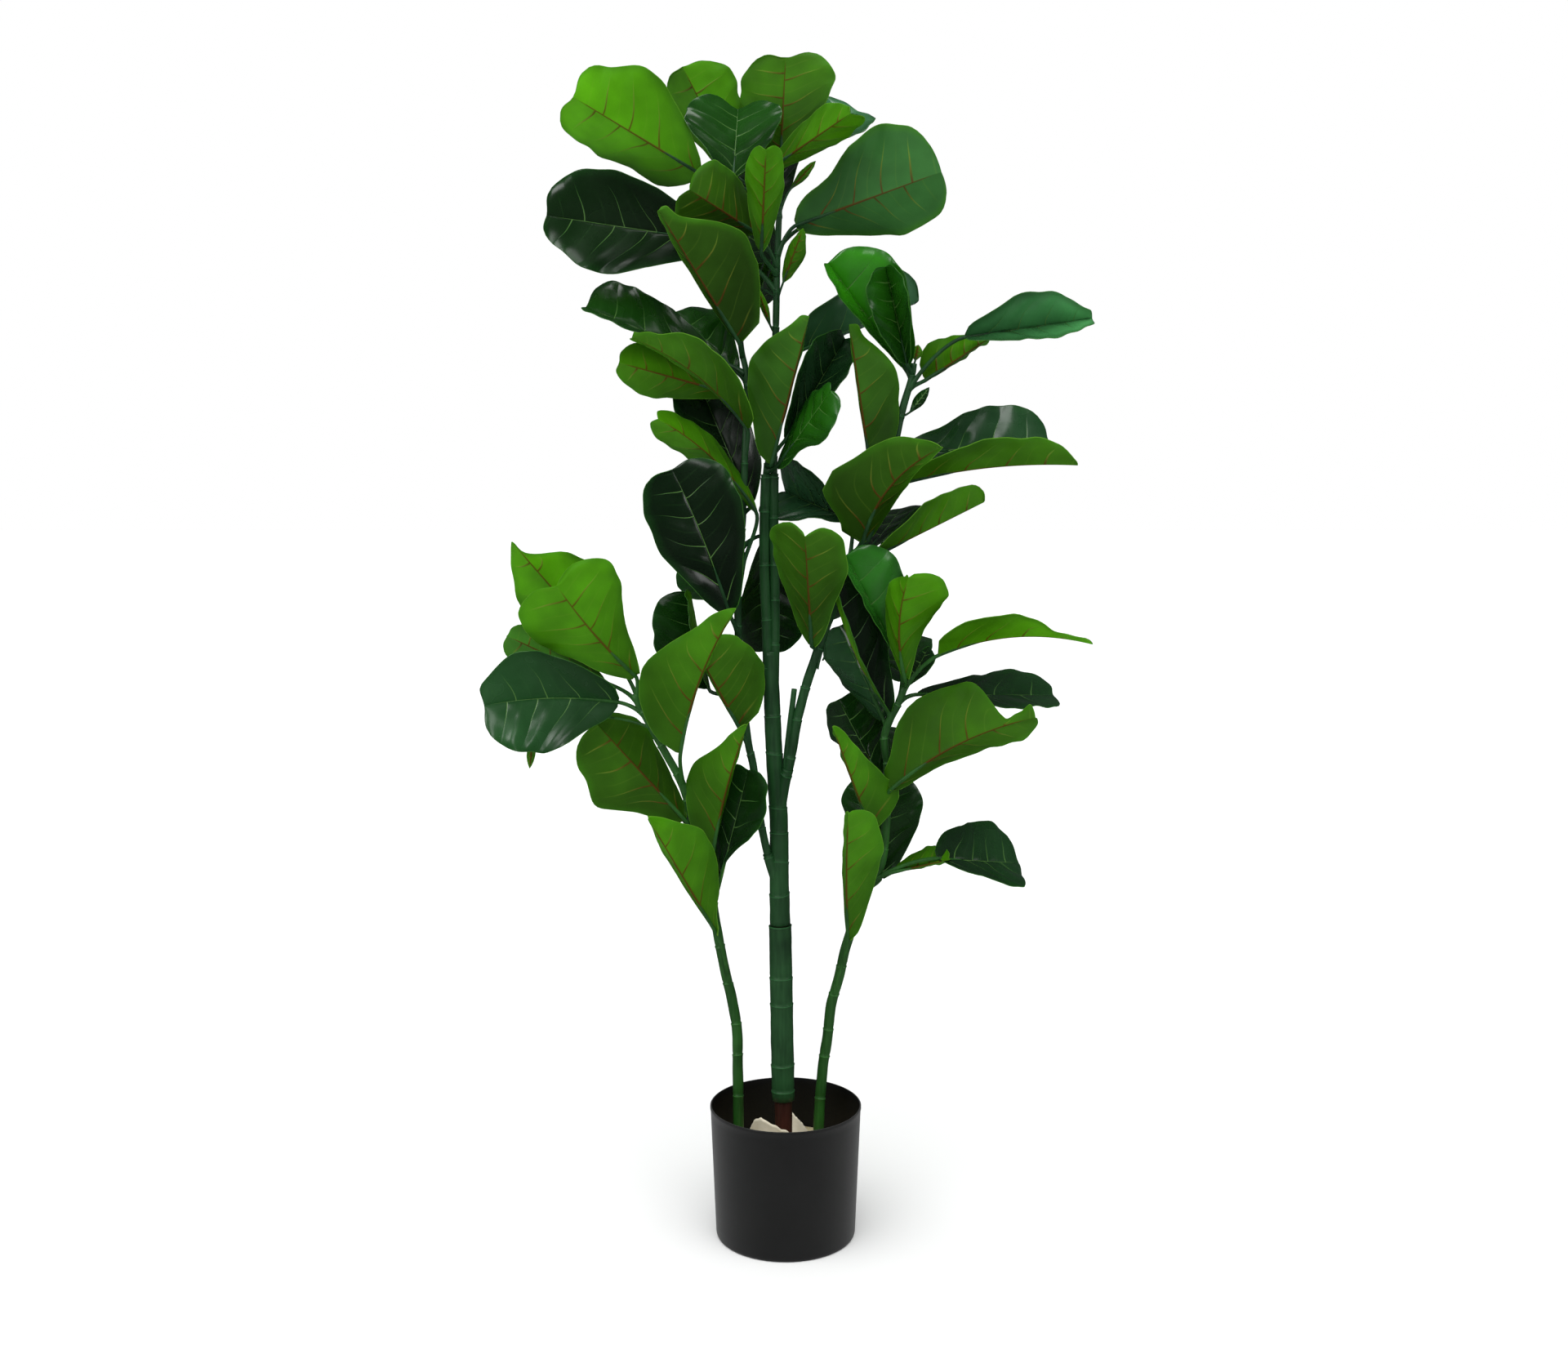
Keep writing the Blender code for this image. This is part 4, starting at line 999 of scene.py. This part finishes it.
# %% Right branch
make_stem("right_branch", RIGHT_BRANCH_ROUTE, [6.4, 6.2, 6.0, 5.8, 5.2, 4.4], [
    upper("cupped_back", 1085, (152, 1098, 6), (50, 1238, 30), -74, -14, (44, 74),
          (RIGHT, 0.85, -9, 0.2), tone=1.0, broad=0.9),
    upper("cupped_front", 1090, (154, 1105, 22), (126, 1233, 52), -53, -60, (50, 38), tone=0.3,
          broad=0.85),
    under("reach_under", 1070, (178, 1083, 10), (263, 1139, 25), 45, 86, (52, 50),
          (LEFT, 0.8, -22, 0.3), (LEFT, 0.2, 9, 0.2), tone=0.42, broad=0.5),
    upper("reach_upper", 1068, (229, 1138, 24), (397, 1163, 60), -40, -72, (56, 50),
          (LEFT, 0.9, -24, 0.14), (LEFT, 0.45, 4, 0.12), tone=0.62, cool=0.5, broad=0.8),
    upper("small_side", 1035, (158, 1042, 12), (183, 1074, 8), 40, 40, (9, 9), notch=0),
    under("bud", 1098, (165, 1108, 8), (169, 1128, 6), 20, 20, (8, 8), notch=0),
    under("inner_strap", 925, (110, 954, 45), (81, 1156, 70), 80, 33, (12, 62),
          (RIGHT, 0.9, -26, 0.17), tone=0.14, cool=0.1, notch=0.01, broad=0.7),
    upper("dark_reach", 955, (147, 989, 10), (343, 1006, -40), 37, -40, (66, 32), tone=0.06,
          cool=0.1),
    under("front_two_lobes", 868, (98, 876, 38), (199, 998, 112), 5, 60, (76, 34),
          (LEFT, 0.1, -24, 0.1), (LEFT, 0.52, -12, 0.17), tone=0.05, bow=18, notch=0, broad=0.55),
    under("long_reach", 935, (156, 954, 38), (374, 975, 70), -57, 118, (62, 62),
          (LEFT, 0.97, -18, 0.1), (RIGHT, 0.97, -18, 0.1), tone=0.26, bow=8, notch=0.01, broad=0.7),
    under("lower_reach", 862, (117, 861, 26), (258, 931, 10), -53, 128, (60, 60),
          (LEFT, 0.85, -14, 0.2), (RIGHT, 0.85, -20, 0.2), tone=0.42),
    upper("small_dark", 866, (106, 866, 12), (149, 922, -80), 55, -60, (44, 44), tone=0.04),
    upper("grey_rims", 850, (81, 905, -4), (-4, 943, -90), -48, -52, (62, 62),
          (RIGHT, 0.4, 14, 0.25), (LEFT, 0.3, -12, 0.2), tone=0.04, cool=0.2),
    under("heart_front", 740, (33, 745, 32), (24, 895, 128), 48, 5, (62, 50), tone=0.08,
          notch=0.07),
    upper("rear_low", 755, (50, 775, 0), (62, 840, -145), 10, 10, (34, 44)),
], green_sleeve, extras=[
    ([(0, 588, 8), (4, 630, 12), (11, 690, 15)], 4.4),
    ([(46, 738, 22), (42, 722, 24), (41, 715, 24)], 1.6),
    ([(49, 748, 23), (50, 733, 25), (47, 726, 25)], 1.5),
])

# %% [markdown]
# ## Left side stem
# A separate leafy stem stands in the weight at the left and leans outwards.

# %% Left side stem
make_stem("left_stem", LEFT_STEM_ROUTE, [7.0, 6.9, 6.6, 6.0, 5.4, 4.4], [
    under("front_fold", 568, (-134, 608, 50), (-64, 792, 95), 15, 80, (72, 18),
          (LEFT, 0.3, 7, 0.15), (LEFT, 0.7, -16, 0.2), (RIGHT, 0.4, -8, 0.25), tone=0.3, bow=10,
          notch=0, broad=0.8),
    under("bright", 675, (-191, 706, 22), (-298, 831, 70), 24, 14, (70, 70), (RIGHT, 0.8, 4, 0.2),
          tone=0.56, bow=5, notch=0.07, broad=1.2),
    under("pointed", 665, (-215, 725, -20), (-349, 877, -5), 34, 38, (62, 70),
          (RIGHT, 0.88, -22, 0.1), (RIGHT, 0.6, 8, 0.12), tone=0.85, notch=0, broad=0.9),
    under("small_lobe", 670, (-231, 699, -30), (-360, 760, -40), 50, 50, (46, 46), cool=0.3),
    upper("big_dark", 655, (-213, 673, 10), (-391, 667, 30), -16, -33, (66, 70),
          (RIGHT, 0.92, -12, 0.15), (LEFT, 0.4, 8, 0.2), tone=0.13, cool=0.1, bow=-8, broad=0.8),
    under("broad", 500, (-129, 524, 8), (-244, 649, 0), 22, 50, (68, 66), (LEFT, 0.5, 15, 0.17),
          (LEFT, 0.78, -8, 0.12), (LEFT, 0.97, -8, 0.1), tone=0.12, notch=0.02),
    under("low_front", 305, (-88, 378, 14), (-175, 525, 110), 75, 22, (22, 57),
          (RIGHT, 0.12, -12, 0.12), (RIGHT, 0.85, -8, 0.15), tone=0.53, notch=0, broad=1.1),
    under("upright", 455, (-93, 480, 24), (-49, 645, 62), 31, 80, (62, 18), (LEFT, 0.75, -14, 0.2),
          tone=0.27, bow=4, notch=0, broad=0.85),
    upper("dark_inner", 415, (-86, 436, 12), (-46, 593, 20), 30, -52, (40, 54),
          (RIGHT, 0.22, -24, 0.25), tone=0.04),
    under("hanging", 640, (-322, 628, -18), (-326, 589, -16), 20, 20, (6, 6), tone=0.1, notch=0),
    upper("rear_up", 470, (-99, 505, -16), (-108, 556, -150), 10, 10, (36, 42)),
], side_sleeve)

# %% [markdown]
# ## Right side stem
# Its twin at the right carries the low leaves and two that twist over, so that both faces show.

# %% Right side stem
make_stem("right_stem", RIGHT_STEM_ROUTE, [7.0, 6.9, 6.6, 6.2, 5.6, 4.6], [
    upper("long_dark", 640, (131, 660, 18), (55, 845, 47), -105, 15, (22, 56), tone=0.0, bow=11,
          broad=0.85),
    upper("mid_green", 694, (147, 722, 26), (74, 866, 38), -78, -10, (36, 54), tone=0.6, cool=0.05),
    upper("grey_side", 630, (125, 650, -10), (66, 775, -30), 54, 40, (58, 58), tone=0.11,
          cool=0.15),
    upper("dark_side", 545, (126, 564, -15), (65, 681, -40), 61, 36, (62, 62), tone=0.06),
    under("bright", 694, (152, 702, 50), (158, 836, 115), 60, 36, (38, 64), (LEFT, 0.97, -20, 0.12),
          (LEFT, 0.45, 8, 0.2), tone=0.52, bow=10, notch=0.03, broad=1.2),
    upper("small_dark", 690, (156, 694, 0), (183, 744, -30), 50, -50, (24, 24), tone=0.04, notch=0),
    under("long_reach", 685, (195, 733, 35), (391, 747, 60), -63, 113, (62, 62),
          (LEFT, 0.8, -18, 0.13), (RIGHT, 0.8, -18, 0.13), tone=0.78, bow=16, notch=0, broad=0.6),
    upper("dark_reach", 672, (169, 683, 0), (348, 682, -20), 58, -74, (60, 60), tone=0.06,
          cool=0.05),
    under("big_front", 545, (133, 561, 30), (320, 654, 80), 14, 66, (80, 60),
          (LEFT, 0.82, -58, 0.08), (LEFT, 0.93, -30, 0.07), (LEFT, 0.6, -8, 0.12),
          (LEFT, 0.1, -12, 0.1), (RIGHT, 0.35, -20, 0.28), tone=0.18, bow=13, notch=0.01,
          broad=0.6),
    upper("dark_low", 432, (121, 449, -20), (125, 584, -40), 22, 14, (56, 52), broad=0.85),
    under("fold_front", 490, (108, 509, 34), (60, 642, 84), 88, 26, (50, 46),
          (RIGHT, 0.16, 20, 0.12), (RIGHT, 0.6, -8, 0.25), tone=0.48, notch=0, broad=0.6),
    under("low_front", 290, (79, 371, 6), (80, 533, 85), 75, 30, (20, 50), tone=0.42, bow=2,
          notch=0.01, broad=0.75),
    under("twist_under", 440, (139, 457, 0), (211, 473, 10), 58, 85, (40, 30), tone=0.42,
          broad=0.7),
    upper("twist_upper", 440, (193, 474, 4), (301, 468, -66), 32, -60, (62, 60),
          (RIGHT, 0.93, -26, 0.15), (LEFT, 0.2, 14, 0.2), tone=0.05, cool=0.05),
    upper("rear_up", 680, (148, 700, -6), (142, 768, -150), 10, 10, (46, 46)),
    upper("rear_low", 578, (132, 592, -10), (152, 640, -150), 10, 10, (34, 48)),
], side_sleeve)

# %% [markdown]
# ## Pot
# A nursery pot is injection-moulded polypropylene: a thin tapered wall with a plain rim. It is a
# turned shape, so its outline is drawn once and carried round the axis in many narrow steps, with
# small roundings at the rim and the foot that catch the light. Its inner faces get a darker copy of
# the black finish: painted shade for the inside of the pot, which lies in shadow.

# %% Pot
POT_HEIGHT = 162
POT_BASE_RADIUS = 88
POT_RIM_RADIUS = 96
POT_WALL = 1.8
POT_FLOOR = 3
RIM_OVERHANG = 0.4
SHARP_ANGLE = radians(60)


def pot_radius(height):
    """The outside of the wall, just under the rim's overhang at the top."""
    return POT_BASE_RADIUS + (POT_RIM_RADIUS - RIM_OVERHANG - POT_BASE_RADIUS) * height / POT_HEIGHT


def wall(level, inset=0.0, height=None):
    """A point of an outline, in from the wall's outside at a level, and maybe off that level."""
    return pot_radius(level) - inset, level if height is None else height


def turned_piece(outline, sides=160):
    """A bmesh of a turned shape; outline is radius and height in mm, from the axis to the axis."""
    shell = bmesh.new()
    shell.verts.layers.float.new("lip")
    rings = []
    for radius, height in outline:
        angles = [2 * pi * i / sides for i in range(sides if radius else 1)]
        rings.append([shell.verts.new((radius * MM * cos(a), radius * MM * sin(a), height * MM))
                      for a in angles])
    for first, second in zip(rings, rings[1:]):
        for i in range(sides):
            j = (i + 1) % sides
            corners = dict.fromkeys((first[i % len(first)], first[j % len(first)],
                                     second[j % len(second)], second[i % len(second)]))
            shell.faces.new(list(corners)).smooth = True
    bmesh.ops.recalc_face_normals(shell, faces=shell.faces[:])
    return shell


pot_outline = [(0, POT_FLOOR), wall(POT_FLOOR, POT_WALL), wall(POT_FLOOR, POT_WALL - 0.2, 3.6)]
pot_outline += [wall(level, POT_WALL) for level in range(10, 156, 12)]
pot_outline += [wall(161, POT_WALL, 161.2), wall(162, 1.4, 161.8), wall(162, 0.8),
                wall(162, 0.1, 161.9), (POT_RIM_RADIUS, 161.3), (POT_RIM_RADIUS, 158.5),
                wall(157.4)]
pot_outline += [wall(level) for level in range(150, 8, -12)]
pot_outline += [wall(5), wall(3, 0.2), wall(1.4, 0.8), wall(0, 1.9, 0.4), wall(0, 3.4), (0, 0)]
pot = finished_piece("nursery_pot", turned_piece(pot_outline), [nursery_black, shaded_black], "pot",
                     "pot_plastic")
# Faces inside the wall get the darker copy of the black: painted shade.
for face in pot.data.polygons:
    out, height = hypot(face.center.x, face.center.y) / MM, face.center.z / MM
    inside = height > POT_FLOOR - 0.1 and out < pot_radius(height) - 1.5
    face.material_index = int(inside)
pot.data.set_sharp_from_angle(angle=SHARP_ANGLE)

# %% [markdown]
# ## Cast weight and torn shells
# The weight is cream plaster poured into the pot, so its top is flat on the whole but has broad
# lumps and small pits, which die out towards the wall. Two torn pieces of thin cream shell stand on
# it beside the rod: a broad curved one in front and a small folded one at the right. They are thin
# sheets with an uneven upper edge, thickened to 1.6 mm.

# %% Weight and shells
FILLER_TOP = 102
FILLER_GAP = 2.6
SHELL_THICKNESS = 1.6 * MM
SHELL_GAP = 0.4
SHELL_UNEVEN = 1.6
SHELL_COLUMNS, SHELL_ROWS = 56, 14

filler_outline = [(radius, FILLER_TOP) for radius in range(0, 84, 2)]
filler_outline += [wall(102, 5.0, 101.6), wall(101, FILLER_GAP, 100.4), wall(3.4, FILLER_GAP),
                   (0, 3.4)]
filler_shell = turned_piece(filler_outline, sides=120)
for corner in filler_shell.verts:
    if corner.co.z > (FILLER_TOP - 2) * MM:
        lumps = noise.noise(corner.co * 55) * 1.6 + noise.noise(corner.co * 190) * 0.7
        away = hypot(corner.co.x, corner.co.y) / MM
        corner.co.z += (min(lumps, 0.9) - 1.0) * MM * min(1, (92 - away) / 8)
finished_piece("plaster_weight", filler_shell, [cream_weight], "filler", "cast_weight")


def torn_shell(name, centre, radius, angles, heights, lean, node):
    """A standing curved sheet with a torn top edge. heights run evenly from angle to angle."""
    shell = bmesh.new()
    shell.verts.layers.float.new("lip")
    bmesh.ops.create_grid(shell, x_segments=SHELL_COLUMNS, y_segments=SHELL_ROWS, size=1)
    luck = Random(name).uniform(0, 50)
    for corner in shell.verts:
        share, rise = (corner.co.x + 1) / 2, (corner.co.y + 1) / 2
        angle = radians(angles[0] + (angles[1] - angles[0]) * share)
        torn = noise.noise(Vector((share * 9 + luck, 0, 0))) * SHELL_UNEVEN
        height = spread_over(heights, share) + torn
        dents = noise.noise(Vector((share * 3, rise * 1.5, luck))) * SHELL_UNEVEN * rise
        spread = radius + lean * rise ** 2 + dents
        corner.co = Vector((centre[0] + spread * cos(angle), centre[1] + spread * sin(angle),
                            FILLER_TOP + SHELL_GAP + height * rise)) * MM
    for face in shell.faces:
        face.smooth = True
    thicken(finished_piece(name, shell, [cream_shell], node, "cream_shell"), SHELL_THICKNESS)


torn_shell("torn_collar", (-14, 4), 30, (200, 300), (26, 46, 51, 46, 40, 34), 4, "collar")
torn_shell("torn_flap", (4, 2), 24, (280, 345), (57, 40, 22), 2, "flap")

fine_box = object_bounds()
print("visual box in metres:", [[round(v, 3) for v in corner] for corner in fine_box])
